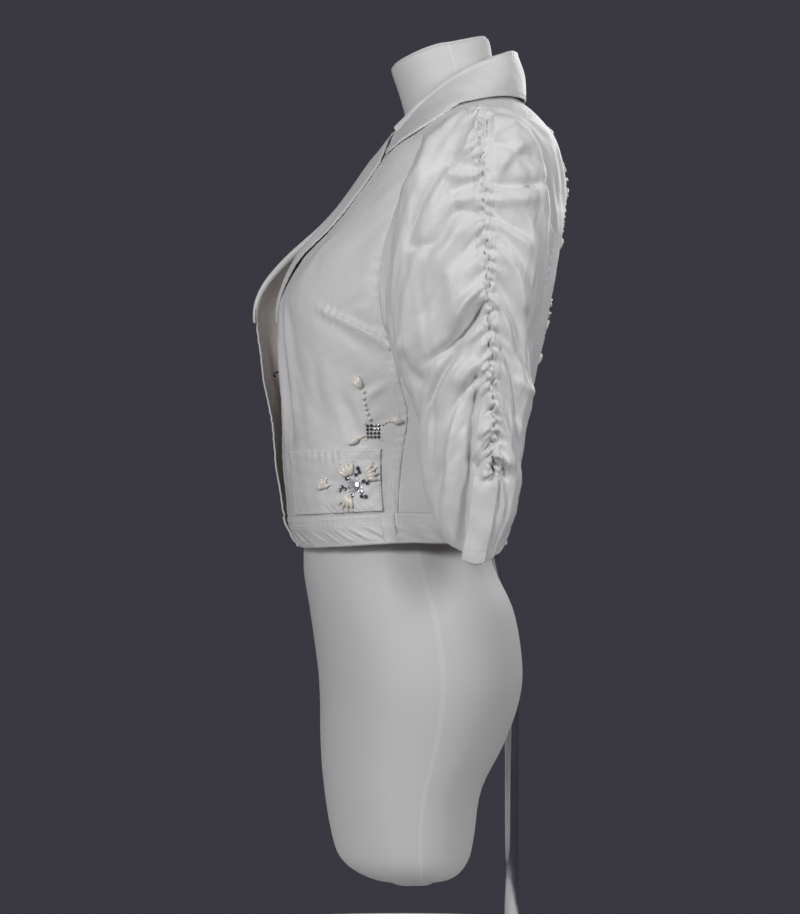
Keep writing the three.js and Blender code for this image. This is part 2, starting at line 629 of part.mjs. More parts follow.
function collar() {
  const stations = seq(COLLAR_STATIONS).map((t) => lerp(-1, 1, t));
  const rows = [0, 0.25, 0.32, 0.38, 0.44, 0.5, 0.65, 0.82, 1];
  const normal = (s, a) => normalAt(collarPoint, s, Math.min(0.98, Math.max(0.02, a)), 0.01, 0.02);
  const outer = rows.map((a) => stations.map((s) => collarPoint(s, a)));
  const inner = rows.map((a) => stations.map((s) => (
    collarPoint(s, a).addScaledVector(normal(s, a), -COLLAR_CLOTH))));
  addMesh('collar', closedWall(outer, inner), COTTON);
}
collar();

// Sleeves
function armholePoint(degrees, lift) {
  const { turn, level } = readTable(ARMHOLE, degrees);
  const point = bodyPoint(turn, level).addScaledVector(bodyNormal(turn, level), lift);
  const centre = new THREE.Vector3(point.x, ARMHOLE_CENTRE.y, ARMHOLE_CENTRE.z);
  return point.addScaledVector(centre.sub(point).normalize(), ARMHOLE_INSET);
}
function sleeveRow(row, angle) {
  const pick = (end) => new THREE.Vector3(row[`${end}X`], row[`${end}Y`], row[`${end}Z`]);
  const [out, under, front, back] = ['out', 'in', 'fr', 'bk'].map(pick);
  const middle = out.clone().add(under).add(front).add(back).multiplyScalar(0.25);
  const c = Math.cos(angle);
  const s = Math.sin(angle);
  return middle.clone()
    .addScaledVector((c > 0 ? out : under).clone().sub(middle), Math.abs(c) ** 0.9)
    .addScaledVector((s > 0 ? front : back).clone().sub(middle), Math.abs(s) ** 0.9);
}
function sleeveBase(degrees, at) {
  const turned = ((degrees % 360) + 360) % 360;
  const angle = radians(turned);
  const ring = (k) => {
    if (k <= 0) return armholePoint(turned, -CLOTH);
    if (k === 1) return armholePoint(turned, ARMHOLE_RISE);
    return sleeveRow(SLEEVE[Math.min(k, SLEEVE_END) - 2], angle);
  };
  const k = Math.min(Math.floor(at), SLEEVE_END - 1);
  const t = at - k;
  const [b, c] = [ring(k), ring(k + 1)];
  if (k === 0) return b.lerp(c, t);
  const leave = k === 1 ? c.clone().addScaledVector(b.clone().sub(ring(0)), -ARMHOLE_LEAVE) : ring(k - 1);
  const [a, d] = [leave, ring(k + 2)];
  const weights = [
    -0.5 * t + t * t - 0.5 * t ** 3,
    1 - 2.5 * t * t + 1.5 * t ** 3,
    0.5 * t + 2 * t * t - 1.5 * t ** 3,
    -0.5 * t * t + 0.5 * t ** 3,
  ];
  return new THREE.Vector3()
    .addScaledVector(a, weights[0]).addScaledVector(b, weights[1])
    .addScaledVector(c, weights[2]).addScaledVector(d, weights[3]);
}
const sleeveNormal = (degrees, at) => normalAt(
  sleeveBase, degrees, Math.min(SLEEVE_END - 0.02, Math.max(0.02, at)), 0.5, 0.02);

// Height of the folds that leave the channel, and of the gathers across it
function sleeveFolds(degrees, at) {
  const away = degrees > 180 ? 360 - degrees : degrees;
  const folds = degrees > 180 ? BACK_SLEEVE_FOLDS : FRONT_SLEEVE_FOLDS;
  return folds.reduce((sum, fold) => {
    const t = away / fold.reach;
    if (t > 1) return sum;
    const beside = (at - fold.at - fold.fall * t) / fold.width;
    return sum + fold.depth * Math.exp(-beside * beside) * smooth(t * 3) * smooth((1 - t) * 1.6);
  }, 0);
}
function gatherHeight(at) {
  const phase = GATHERS * ((at - 2) / (CHANNEL_END - 2)) + 0.25 * Math.sin(at * 2.1);
  return GATHER_DEPTH * Math.cos(FULL_TURN * phase) * smooth((at - 1.4) * 2);
}
const SLEEVE_STEPS = 24;
const AROUND_STEPS = 9;
const sleeveFade = (at) => smooth((at - 1.4) / 1.2);
function channelTurn(at) {
  const step = 2;
  const perDegree = sleeveBase(step, at).distanceTo(sleeveBase(-step, at)) / (2 * step);
  return CHANNEL_HALF / perDegree;
}
function sleevePoint(side, degrees, at, rise) {
  const point = sleeveBase(degrees, at).addScaledVector(sleeveNormal(degrees, at), rise);
  point.x *= side;
  return point;
}
function sleeveWall(name, side, stations, across, turnOf, riseOf, cloth = CLOTH) {
  const surface = (depth) => stations.map((at) => across.map((t) => {
    const degrees = turnOf(t, at);
    return sleevePoint(side, degrees, at, riseOf(degrees, at) - depth);
  }));
  addMesh(name, closedWall(surface(0), surface(cloth)), COTTON);
}
function sleeve(label, side) {
  const stations = seq(SLEEVE_STEPS).map((t) => lerp(0, SLEEVE_END, t ** 1.12));
  const underarmGap = 0.6;
  const edge = (at) => channelTurn(Math.max(at, 1)) + 0.75;
  const besideTab = (degrees) => smooth(2 - Math.min(degrees, 360 - degrees) / 24);
  const underTab = (degrees, at) => 1 - smooth((at - 10.5) / 0.5) * besideTab(degrees);
  const rise = (degrees, at) => sleeveFolds(degrees, at) * sleeveFade(at) * underTab(degrees, at);
  const front = (t, at) => Math.min(Math.max(t * 180, edge(at)), 180 - underarmGap);
  const back = (t, at) => 360 - front(1 - t, at);
  sleeveWall(`${label}_sleeve_front`, side, stations, seq(AROUND_STEPS), front, rise);
  sleeveWall(`${label}_sleeve_back`, side, stations, seq(AROUND_STEPS), back, rise);
  const gathers = seq(GATHER_STATIONS).map((t) => lerp(0, SLEEVE_END, t));
  const strip = (t, at) => (lerp(-1, 1, t) * channelTurn(Math.max(at, 1)) + 360) % 360;
  const drawn = (degrees, at) => (at > CHANNEL_END ? 0 : gatherHeight(at));
  sleeveWall(`${label}_sleeve_ruching`, side, gathers, seq(2), strip, drawn);
  const ventRows = seq(6).map((t) => lerp(VENT.top, VENT.foot, t));
  const ventTurn = (t, at) => {
    const perMm = channelTurn(at) / CHANNEL_HALF;
    return (VENT.across + (t - 0.5) * VENT.width) * perMm + 360;
  };
  const ventRise = () => VENT.cloth + VENT.rise;
  sleeveWall(`${label}_sleeve_vent_tab`, side, ventRows, seq(3), ventTurn, ventRise, VENT.cloth);
}
sleeve('left', 1);
sleeve('right', -1);

// Bead flowers: a low boss with petals, raised over a plain underside
const FLOWER_RINGS = 3;
function flower({ name, level, turn, radius, rise, petals }) {
  const sides = petals * 3;
  const perLevel = bodyPoint(turn, level + 0.05).distanceTo(bodyPoint(turn, level - 0.05)) / 0.1;
  const place = (r, angle, height) => besideBody(
    turn, level + (r * Math.cos(angle)) / perLevel, r * Math.sin(angle), height);
  const points = [place(0, 0, rise + BEAD_HEIGHT), place(0, 0, rise)];
  const index = [];
  const ringStart = [];
  for (const layer of [1, 0]) {
    for (let k = 1; k <= FLOWER_RINGS; k += 1) {
      ringStart.push(points.length);
      for (let i = 0; i < sides; i += 1) {
        const angle = (FULL_TURN * i) / sides;
        const petal = 0.72 + 0.28 * Math.cos(petals * angle);
        const r = (radius * petal * k) / FLOWER_RINGS;
        const bead = layer * (k === FLOWER_RINGS ? 1 : lerp(BEAD_HEIGHT, 1.6, k / FLOWER_RINGS));
        points.push(place(r, angle, rise + bead));
      }
    }
  }
  const ring = (start, i) => start + (i % sides);
  for (let i = 0; i < sides; i += 1) {
    index.push(0, ring(ringStart[0], i), ring(ringStart[0], i + 1));
    index.push(1, ring(ringStart[FLOWER_RINGS], i + 1), ring(ringStart[FLOWER_RINGS], i));
    for (const layer of [0, 1]) {
      for (let k = 0; k < FLOWER_RINGS - 1; k += 1) {
        const [a, b] = [ringStart[layer * FLOWER_RINGS + k], ringStart[layer * FLOWER_RINGS + k + 1]];
        const corner = [ring(a, i), ring(b, i), ring(b, i + 1), ring(a, i + 1)];
        const [p, q, r, s] = layer === 0 ? corner : corner.reverse();
        index.push(p, q, r, p, r, s);
      }
    }
    const [top, foot] = [ringStart[FLOWER_RINGS - 1], ringStart[2 * FLOWER_RINGS - 1]];
    index.push(ring(top, i), ring(foot, i), ring(foot, i + 1));
    index.push(ring(top, i), ring(foot, i + 1), ring(top, i + 1));
  }
  addMesh(name, closedGeometry(points, index), PEARL);
}
FLOWERS.forEach(flower);

// Dress form: one closed body
function formPoint(turn, at) {
  const row = readTable(FORM, at);
  const point = ringPoint(row, turn);
  const groove = Math.exp(-((point.x / CLEFT_WIDTH) ** 2));
  point.y += (Math.cos(turn) > 0 ? row.part : -row.cleft) * groove;
  return point;
}
function dressForm() {
  const rings = seq(FORM_RINGS).map((t) => lerp(0, FORM.length - 1, t));
  const points = [];
  const index = [];
  for (const at of rings) {
    for (let i = 0; i < FORM_SIDES; i += 1) {
      const even = (FULL_TURN * i) / FORM_SIDES;
      points.push(formPoint(even - 0.22 * Math.sin(2 * even), at));
    }
  }
  const at = (j, i) => j * FORM_SIDES + (i % FORM_SIDES);
  for (let j = 0; j < rings.length - 1; j += 1) {
    for (let i = 0; i < FORM_SIDES; i += 1) {
      index.push(at(j, i), at(j, i + 1), at(j + 1, i + 1), at(j, i), at(j + 1, i + 1), at(j + 1, i));
    }
  }
  const ends = [0, rings.length - 1].map((j) => {
    const centre = new THREE.Vector3();
    for (let i = 0; i < FORM_SIDES; i += 1) centre.addScaledVector(points[at(j, i)], 1 / FORM_SIDES);
    points.push(centre);
    return points.length - 1;
  });
  for (let i = 0; i < FORM_SIDES; i += 1) {
    index.push(ends[0], at(0, i + 1), at(0, i));
    index.push(ends[1], at(rings.length - 1, i), at(rings.length - 1, i + 1));
  }
  addMesh('dress_form', closedGeometry(points, index), FORM_PLASTIC);
}
dressForm();

// A round wire of some sides along a route of Y and Z
function wire(x, route, radius, sides, steps, lift) {
  const stops = route.map(([y, z], k) => new THREE.Vector3(x, y, k ? z : z + lift));
  const path = new THREE.CatmullRomCurve3(stops);
  const section = new THREE.Shape(seq(sides).slice(1).map((t) => (
    new THREE.Vector2(radius * Math.cos(FULL_TURN * t), radius * Math.sin(FULL_TURN * t)))));
  return new THREE.ExtrudeGeometry(section, { steps, bevelEnabled: false, extrudePath: path });
}

// Stand: base plate, pole, and the rod that follows the form's back up to its fixing plate
function stand() {
  const profile = [
    new THREE.Vector2(0, 0),
    new THREE.Vector2(BASE.radius, 0),
    new THREE.Vector2(BASE.radius, BASE.thick - BASE.bevel),
    new THREE.Vector2(BASE.radius - BASE.bevel, BASE.thick),
    new THREE.Vector2(0, BASE.thick),
  ];
  const base = new THREE.LatheGeometry(profile, 48).rotateX(Math.PI / 2).translate(0, BASE.y, 0);
  addMesh('stand_base', base, STEEL_PLATE);
  const poleFoot = BASE.thick + SEAM_GAP;
  const pole = new THREE.CylinderGeometry(POLE.radius, POLE.radius, POLE.top - poleFoot, 24);
  addMesh('stand_pole', pole.rotateX(Math.PI / 2).translate(0, POLE.y, (POLE.top + poleFoot) / 2), CHROME);
  const faceY = PLATE.y + PLATE.thick + SEAM_GAP;
  const route = [...ROD_ROUTE, [faceY + 5, PLATE.z], [faceY, PLATE.z]];
  addMesh('stand_rod', wire(0, route, ROD_RADIUS, 8, 26, 3 * SEAM_GAP), CHROME);
  const plate = new THREE.BoxGeometry(PLATE.width, PLATE.thick, PLATE.height);
  addMesh('stand_plate', plate.translate(0, PLATE.y + PLATE.thick / 2, PLATE.z), CHROME);
}
stand();
addMesh('front_hook', wire(HOOK.x, HOOK.route, HOOK.radius, 6, 10, 0), DARK_METAL);

export default group;
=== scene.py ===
# %% [markdown]
# # A cropped white jacket on a dress form
# The jacket is sewn from cotton sateen: two fronts with a bust dart, side panels, a back, a waistband,
# patch pockets, notched lapels, a turned collar and elbow sleeves drawn up along their outer centre line.
# It stands on a smooth moulded torso with a chromed pole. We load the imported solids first, because the
# pieces made below take their place and have to lie where they lie.

# %% Load the frame
import bpy
import numpy as np
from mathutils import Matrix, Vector


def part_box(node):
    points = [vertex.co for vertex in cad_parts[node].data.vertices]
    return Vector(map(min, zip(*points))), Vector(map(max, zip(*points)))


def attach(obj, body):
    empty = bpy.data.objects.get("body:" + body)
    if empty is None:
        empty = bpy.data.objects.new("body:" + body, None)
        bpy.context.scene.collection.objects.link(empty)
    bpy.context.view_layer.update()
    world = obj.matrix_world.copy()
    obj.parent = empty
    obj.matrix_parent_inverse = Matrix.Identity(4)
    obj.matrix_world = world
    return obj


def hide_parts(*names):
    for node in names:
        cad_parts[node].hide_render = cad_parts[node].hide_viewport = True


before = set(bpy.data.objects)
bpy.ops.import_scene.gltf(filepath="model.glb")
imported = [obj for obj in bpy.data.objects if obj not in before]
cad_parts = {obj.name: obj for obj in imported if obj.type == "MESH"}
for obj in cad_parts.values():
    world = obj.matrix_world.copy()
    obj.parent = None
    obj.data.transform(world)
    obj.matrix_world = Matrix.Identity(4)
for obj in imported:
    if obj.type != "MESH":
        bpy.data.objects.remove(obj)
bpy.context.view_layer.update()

MM = 0.001

# %% [markdown]
# ## Tables of sections
# A tailor cuts from a few measured lines, so the form and the jacket are given here as rows of
# measurements, from the bottom up. A smooth curve through the rows gives every height between them.
# Sculpting by hand would be quicker for one picture, but it could not follow the solids to a millimetre.

# %% Name and read the columns of a table
def table(names, rows):
    """Give every column of a short table its name."""
    return {name: np.array(column, float) for name, column in zip(names.split(), zip(*rows))}


def read(rows, value):
    """Columns at `value`: between rows a and b each one follows the cubic
    (2t^3 - 3t^2 + 1) a + (t^3 - 2t^2 + t) slope_a + (3t^2 - 2t^3) b + (t^3 - t^2) slope_b."""
    at, last = rows["at"], len(rows["at"]) - 1
    k = np.searchsorted(at[1:last], value, side="left")
    before, after = np.maximum(k - 1, 0), np.minimum(k + 2, last)
    span = at[k + 1] - at[k]
    t = np.clip((value - at[k]) / span, 0, 1)
    found = {}
    for name, column in rows.items():
        slope_a = (column[k + 1] - column[before]) / (at[k + 1] - at[before]) * span
        slope_b = (column[after] - column[k]) / (at[after] - at[k]) * span
        found[name] = ((2 * t**3 - 3 * t**2 + 1) * column[k] + (t**3 - 2 * t**2 + t) * slope_a
                       + (3 * t**2 - 2 * t**3) * column[k + 1] + (t**3 - t**2) * slope_b)
    return found


def smooth(t):
    """0 below 0, 1 above 1, and 3t^2 - 2t^3 between."""
    t = np.clip(t, 0, 1)
    return t * t * (3 - 2 * t)


# %% Sections of the torso and of the jacket, in millimetres
FORM = table("at side front front_z back back_z half mid square cleft part", [
    (0, 123, -16, 120, 38, 120, 92, 10, 2.2, 0, 0),
    (1, 127, -42, 123, 60, 123, 120, 9, 2.2, 12, 10),
    (2, 142, -65, 138, 73, 138, 138, 6, 2.2, 22, 16),
    (3, 166, -76, 162, 79, 162, 147, 4, 2.2, 26, 18),
    (4, 214, -84, 214, 87, 214, 156, 5, 2.2, 28, 15),
    (5, 262, -87, 262, 111, 262, 164, 14, 2.2, 30, 8),
    (6, 306, -87, 306, 127, 306, 171, 20, 2.2, 26, 2),
    (7, 345, -89, 345, 131, 345, 173, 21, 2.2, 20, 0),
    (8, 403, -97, 403, 122, 403, 166, 14, 2.2, 13, 0),
    (9, 450, -104, 450, 101, 450, 152, 3, 2.15, 5, 0),
    (10, 500, -101, 500, 88, 500, 134, -4, 2.1, 0, 0),
    (11, 545, -95, 545, 86, 545, 123, -3, 2.1, 0, 0),
    (12, 600, -98, 600, 104, 600, 129, 4, 2.15, 0, 0),
    (13, 655, -108, 655, 131, 650, 140, 15, 2.25, 0, 0),
    (14, 715, -119, 715, 146, 705, 146, 28, 2.35, 0, 0),
    (15, 770, -98, 768, 157, 770, 146, 38, 2.3, 0, 0),
    (16, 820, -66, 815, 165, 825, 150, 48, 2.25, 0, 0),
    (17, 865, -42, 848, 167, 862, 158, 58, 2.2, 0, 0),
    (18, 901.3, -22, 877, 160, 894.2, 167, 62, 2.2, 0, 0),
    (19, 916, -8, 895.3, 151, 916.3, 151, 62, 2.15, 0, 0),
    (20, 931.5, 2, 912.3, 138, 934.3, 113, 60, 2.1, 0, 0),
    (21, 947.8, 7, 922.3, 125, 948.3, 78, 58, 2.05, 0, 0),
    (22, 960, 6, 934, 110, 962, 58, 56, 2, 0, 0),
    (23, 982, 0, 957, 102, 988, 51, 51, 2, 0, 0),
    (24, 1003, -9, 984, 97, 1015, 49, 45, 2, 0, 0),
    (25, 1008, -7, 990, 93, 1021, 45, 44, 2, 0, 0),
])
BODY = table("at side front front_z back back_z half mid square", [
    (0, 480, -108, 471, 114, 474, 162, 5, 2.3),
    (1, 496, -117, 488, 113, 492, 160, 3, 2.3),
    (2, 511, -121, 504, 112, 508, 157, 2, 2.3),
    (3, 560, -126, 560, 112, 560, 152, 0, 2.3),
    (4, 610, -127, 610, 126, 610, 153, 4, 2.3),
    (5, 650, -129, 650, 142, 648, 158, 12, 2.35),
    (6, 700, -131, 700, 154, 698, 162, 22, 2.4),
    (7, 740, -128, 738, 162, 742, 164, 30, 2.4),
    (8, 780, -108, 778, 170, 785, 166, 38, 2.35),
    (9, 822, -77, 815, 176, 827, 169, 48, 2.3),
    (10, 868, -52, 848, 177, 864, 174, 58, 2.25),
    (11, 905, -31, 878, 170, 897, 178, 62, 2.2),
    (12, 918, -16, 896, 160, 918, 158, 62, 2.15),
    (13, 933, -4, 913, 146, 936, 118, 60, 2.1),
    (14, 949, 2, 925, 132, 950, 82, 58, 2.05),
    (15, 965, 2, 938, 119, 965, 66, 56, 2),
])
BAND_TOP, NECK_SEAM, SHOULDER_TOP = 2, 15, 11.9
print("torso rows:", len(FORM["at"]), "jacket rows:", len(BODY["at"]))

# %% Lines of the cut: armhole, seams and front edge
ARMHOLE = table("at turn level", [
    (0, 90, 11.9), (20, 78, 11.65), (40, 69, 11), (60, 64.5, 10.1), (80, 64.5, 9.2), (100, 68, 8.1),
    (120, 72, 7), (140, 76.6, 5.96), (160, 84, 5.25), (180, 93, 4.85), (200, 102, 5.05), (220, 109, 5.9),
    (240, 115, 7.2), (260, 119, 8.5), (280, 120.8, 9.6), (300, 119, 10.4), (320, 114, 11),
    (340, 103, 11.6), (360, 90, 11.9),
])
FRONT_CORNER, BACK_CORNER = 140, 280
SIDE_FRONT_SEAM = table("at turn", [
    (0, 84), (2, 86), (3, 88), (4, 89), (4.7, 85.5), (5.5, 80.5), (5.96, 76.6)])
BACK_SEAM = table("at turn", [(0, 138), (2, 140), (5, 144), (7, 148), (8.3, 148), (9, 137), (9.6, 121)])
FRONT_EDGE = table("at x flare", [
    (0, 2.5, 2), (2, 2.5, 5), (4, 2.5, 13), (5.4, 2.5, 21), (6.4, 4, 25), (7.3, 8, 24), (8.3, 16, 14),
    (9.5, 25, 6), (11, 31, 2), (13, 36, 0), (13.6, 48, 0), (14.2, 59, 0), (15, 65.6, 0)])
FLARE_WIDTH = 46

# %% [markdown]
# ## The jacket's surface
# Every piece of the body lies on one surface of two parameters: the turn round the body in degrees from
# the centre front, and the level, which counts the rows of the table. A cross section is a superellipse,
# a rounded shape between an ellipse and a box, because a clothed chest is flatter than an ellipse.

# %% Points and normals of the body
def ring_point(ring, turn):
    """x = half sin^(2/p), y = mid + depth |cos|^(2/p), z = side + rise |cos|^1.3 for power p."""
    s, c = np.sin(turn), np.cos(turn)
    power = 2 / ring["square"]
    depth = np.where(c > 0, ring["front"], ring["back"]) - ring["mid"]
    height = np.where(c > 0, ring["front_z"], ring["back_z"]) - ring["side"]
    return np.stack([ring["half"] * np.sign(s) * np.abs(s)**power,
                     ring["mid"] + depth * np.abs(c)**power,
                     ring["side"] + height * np.abs(c)**1.3], -1)


def body_point(turn, level):
    """The section at this level, with the wearer's right front edge standing forward by the flare."""
    point = ring_point(read(BODY, level), np.radians(turn))
    right = (point[..., 0] < 0) & (point[..., 1] < 0)
    flare = read(FRONT_EDGE, level)["flare"] * smooth(1 + point[..., 0] / FLARE_WIDTH)
    point[..., 1] -= np.where(right, flare, 0)
    return point


def length(vectors):
    """Lengths of the vectors along an array's last axis."""
    return np.linalg.norm(vectors, axis=-1)


def normal_at(surface, u, v, du, dv):
    """Unit cross product of the surface's small steps along u and v."""
    across = np.cross(surface(u + du, v) - surface(u - du, v), surface(u, v + dv) - surface(u, v - dv))
    return across / length(across)[..., None]


def beside_body(turn, level, along, height):
    """A body point moved `along` mm round the body and raised by `height` mm along its normal."""
    per_degree = length(body_point(turn + 0.5, level) - body_point(turn - 0.5, level))
    moved = turn + along / per_degree
    lift = np.asarray(height, float)[..., None] * normal_at(body_point, moved, level, 0.3, 0.01)
    return body_point(moved, level) + lift


# %% [markdown]
# ## Folds, puckers and stitching
# Cloth never lies as smoothly as a table says. Long folds are placed one by one, each a soft ridge with a
# shallow trough on either side, bowed a little. Stitching draws cotton up into short puckers beside each
# seam, and a few crossing waves give the fine unevenness of worn cloth. A cloth simulation could make
# such folds too, but not in the places where this jacket has them.

# %% Uneven waves, placed folds and puckers
def crumple(u, v, scale, seed):
    """Sum of eight sines in eight directions, about -1 to 1; u, v and scale in mm."""
    chance = np.random.default_rng(int(100 * seed))
    total = 0
    for angle in chance.uniform(0, np.pi, 8):
        phase, stretch = chance.uniform(0, 2 * np.pi), chance.uniform(0.7, 1.7)
        total = total + np.sin(2 * np.pi * stretch * (u * np.cos(angle) + v * np.sin(angle)) / scale + phase)
    return total / 4


def fold_sum(rows, u, v, u_mm, v_mm):
    """Sum of the table's folds at (u, v). Each runs from (u, v) to (u2, v2), bowed by `bow` mm, with the
    profile exp(-x^2) - 0.3 exp(-(|x| - 2)^2), x being the distance across it over its width."""
    total = np.zeros(np.broadcast(u, v).shape)
    for start_u, start_v, end_u, end_v, width, depth, bow in zip(*rows.values()):
        du, dv = (end_u - start_u) * u_mm, (end_v - start_v) * v_mm
        span = np.hypot(du, dv)
        pu, pv = (u - start_u) * u_mm, (v - start_v) * v_mm
        t = (pu * du + pv * dv) / span**2
        inside = np.clip(t, 0, 1)
        across = (pu * dv - pv * du) / span - bow * 4 * inside * (1 - inside)
        x = across / (width * (0.7 + 0.6 * inside))
        profile = np.exp(-x**2) - 0.3 * np.exp(-(np.abs(x) - 2)**2)
        total += depth * profile * smooth((t + 0.12) / 0.4) * smooth((1.15 - t) / 0.5)
    return total


def pucker(distance, along, reach, wave, height, seed):
    """Short waves across a seam: height exp(-(distance/reach)^2) sin(along/wave), unevenly spaced."""
    wander = (along + 0.35 * wave * np.sin(along / (2.3 * wave) + seed)
              + 0.25 * distance * np.sin(along / 37 + seed))
    uneven = 0.6 + 0.4 * np.sin(along / (1.7 * wave) + 2 * seed)
    return height * uneven * np.exp(-(distance / reach)**2) * np.sin(2 * np.pi * wander / wave)


def groove(distance, at, depth=0.35, width=0.8):
    """The shallow line that a row of stitches presses into the cloth, `at` mm from an edge."""
    return -depth * np.exp(-((distance - at) / width)**2)


def rolled(distance, radius=1.1):
    """Drop of a turned edge: radius - sqrt(radius^2 - (radius - d)^2) within `radius` of it."""
    inward = np.clip(radius - distance, 0, radius)
    return -(radius - np.sqrt(np.maximum(radius**2 - inward**2, 0)))


# %% [markdown]
# ## Making a cloth piece
# A piece is one grid of points on its outer face. Solidify gives it the thickness of the cloth towards
# the inside. The inner faces take a second material, a warm beige that is painted bounce light in the
# shaded gaps between the pieces, apart from the collar's, which is turned and shows the right side on
# both faces.
# The grid's own distances along and across, in metres, become its UV map, so that the weave keeps its
# real size everywhere.

# %% Grid distances and mesh making
def run(points, axis):
    """Distance along one axis of a grid from its first row or column."""
    steps = length(np.diff(points, axis=axis))
    shape = list(steps.shape)
    shape[axis] = 1
    return np.concatenate([np.zeros(shape), np.cumsum(steps, axis=axis)], axis=axis)


def edge_stops(count, edge_mm, length_mm):
    """Positions from 0 to 1, closer together beside both ends so that a turned edge is round."""
    fine = np.array([0, 0.3, 0.8, 1.6]) * edge_mm / length_mm
    middle = np.linspace(fine[-1], 1 - fine[-1], count)[1:-1]
    return np.concatenate([fine, middle, 1 - fine[::-1]])


def grid_quads(rows, columns, wrap=False):
    """Quads between the points of a grid; `wrap` joins its last column to its first."""
    index = np.arange(rows * columns).reshape(rows, columns)
    if wrap:
        index = np.concatenate([index, index[:, :1]], 1)
    return np.stack([index[:-1, :-1], index[:-1, 1:], index[1:, 1:], index[1:, :-1]], -1).reshape(-1, 4)


def mesh_object(name, points, quads):
    """A smooth shaded object of quads on points in mm, linked to the scene."""
    mesh = bpy.data.meshes.new(name)
    mesh.from_pydata((points * MM).tolist(), [], quads.tolist())
    mesh.shade_smooth()
    made = bpy.data.objects.new(name, mesh)
    bpy.context.collection.objects.link(made)
    return made


def grid_object(name, points, flip=False, wrap=False):
    """A mesh on rows x columns of points in mm, with a UV map in metres."""
    quads = grid_quads(*points.shape[:2], wrap)
    made = mesh_object(name, points.reshape(-1, 3), quads[:, ::-1] if flip else quads)
    uv = np.stack([run(points, 1), run(points, 0)], -1).reshape(-1, 2) * MM
    corner = np.empty(len(made.data.loops), np.int32)
    made.data.loops.foreach_get("vertex_index", corner)
    made.data.uv_layers.new(name="cloth").data.foreach_set("uv", uv[corner].ravel())
    return made


def faces_away(points, inside):
    """Whether the grid's normals already point away from a line of inside points."""
    across = np.cross(points[1:, :-1] - points[:-1, :-1], points[:-1, 1:] - points[:-1, :-1])
    return np.sum(across * (points[:-1, :-1] - inside(points[:-1, :-1]))) < 0


# %% A finished cloth piece
PANEL_THICK = 1.4
cut_list = []


def stands_for(made, node_name):
    """Let a piece ride with the part's one body, in place of a solid, which it hides."""
    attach(made, "root")
    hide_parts(node_name)


def cloth(name, points, node_name, thick, flat, share, inside, painted_inside=True):
    """Grid to solidified cloth that stands for a solid, recorded with the size that it was cut to."""
    made = grid_object(name, points, flip=not faces_away(points, inside))
    made.data.materials.append(COTTON)
    # Inner faces take the warm beige of painted bounce light.
    if painted_inside:
        made.data.materials.append(COTTON_PAINTED_BOUNCE)
    shell = made.modifiers.new("thickness", "SOLIDIFY")
    shell.thickness, shell.offset, shell.material_offset = thick * MM, -1, int(painted_inside)
    shell.use_even_offset = False
    stands_for(made, node_name)
    diagonals = np.cross(points[1:, 1:] - points[:-1, :-1], points[1:, :-1] - points[:-1, 1:])
    area = length(diagonals).sum() / 2 * MM**2
    cut_list.append((name, flat, round(area / (share * flat[0] * flat[1]), 2)))
    print(f"{name}: {points.shape[0]} x {points.shape[1]} points, {area:.4f} m2, cut {flat[0]} x {flat[1]} m")


def in_body(points):
    """The upright line in the middle of the body."""
    return points * [0, 0, 1] + [0, 30, 0]


# %% [markdown]
# ## Materials
# Cotton sateen is a fine diagonal weave with a soft shine, so its material has a twill of thin ridges in
# the bump, a little sheen, and slow changes of colour and roughness as from washing. All of it is made
# from the UV map or object coordinates, with no pictures.

# %% Node helpers
def material(name, colour, roughness, metallic=0.0, **sockets):
    """A Principled material with its constants on the shader's own sockets."""
    made = bpy.data.materials.new(name)
    made.use_nodes = True
    shader = made.node_tree.nodes["Principled BSDF"]
    shader.inputs["Base Color"].default_value = (*colour, 1)
    shader.inputs["Roughness"].default_value = roughness
    shader.inputs["Metallic"].default_value = metallic
    for socket, value in sockets.items():
        shader.inputs[socket.replace("_", " ")].default_value = value
    return made


def link(made, from_node, from_socket, to_node, to_socket):
    """Join one node's output to another node's input."""
    made.node_tree.links.new(from_node.outputs[from_socket], to_node.inputs[to_socket])


def node(made, kind, **values):
    """A node with its properties and its inputs' values set by name."""
    found = made.node_tree.nodes.new(kind)
    for name, value in values.items():
        if name in found.inputs:
            found.inputs[name].default_value = value
        else:
            setattr(found, name, value)
    return found


def ramp(made, source, socket, low, high):
    """A colour ramp from one colour to another."""
    made_ramp = node(made, "ShaderNodeValToRGB")
    made_ramp.color_ramp.elements[0].color = (*low, 1)
    made_ramp.color_ramp.elements[1].color = (*high, 1)
    link(made, source, socket, made_ramp, "Fac")
    return made_ramp


def wandering_roughness(made, texture, low, high):
    """Let the roughness follow a texture between two values."""
    spread = node(made, "ShaderNodeMapRange", **{"To Min": low, "To Max": high})
    link(made, texture, "Fac", spread, "Value")
    link(made, spread, "Result", made.node_tree.nodes["Principled BSDF"], "Roughness")


# %% Cotton, outside and inside
TWILL_PER_METRE = 900
SLUB_PER_METRE = 260


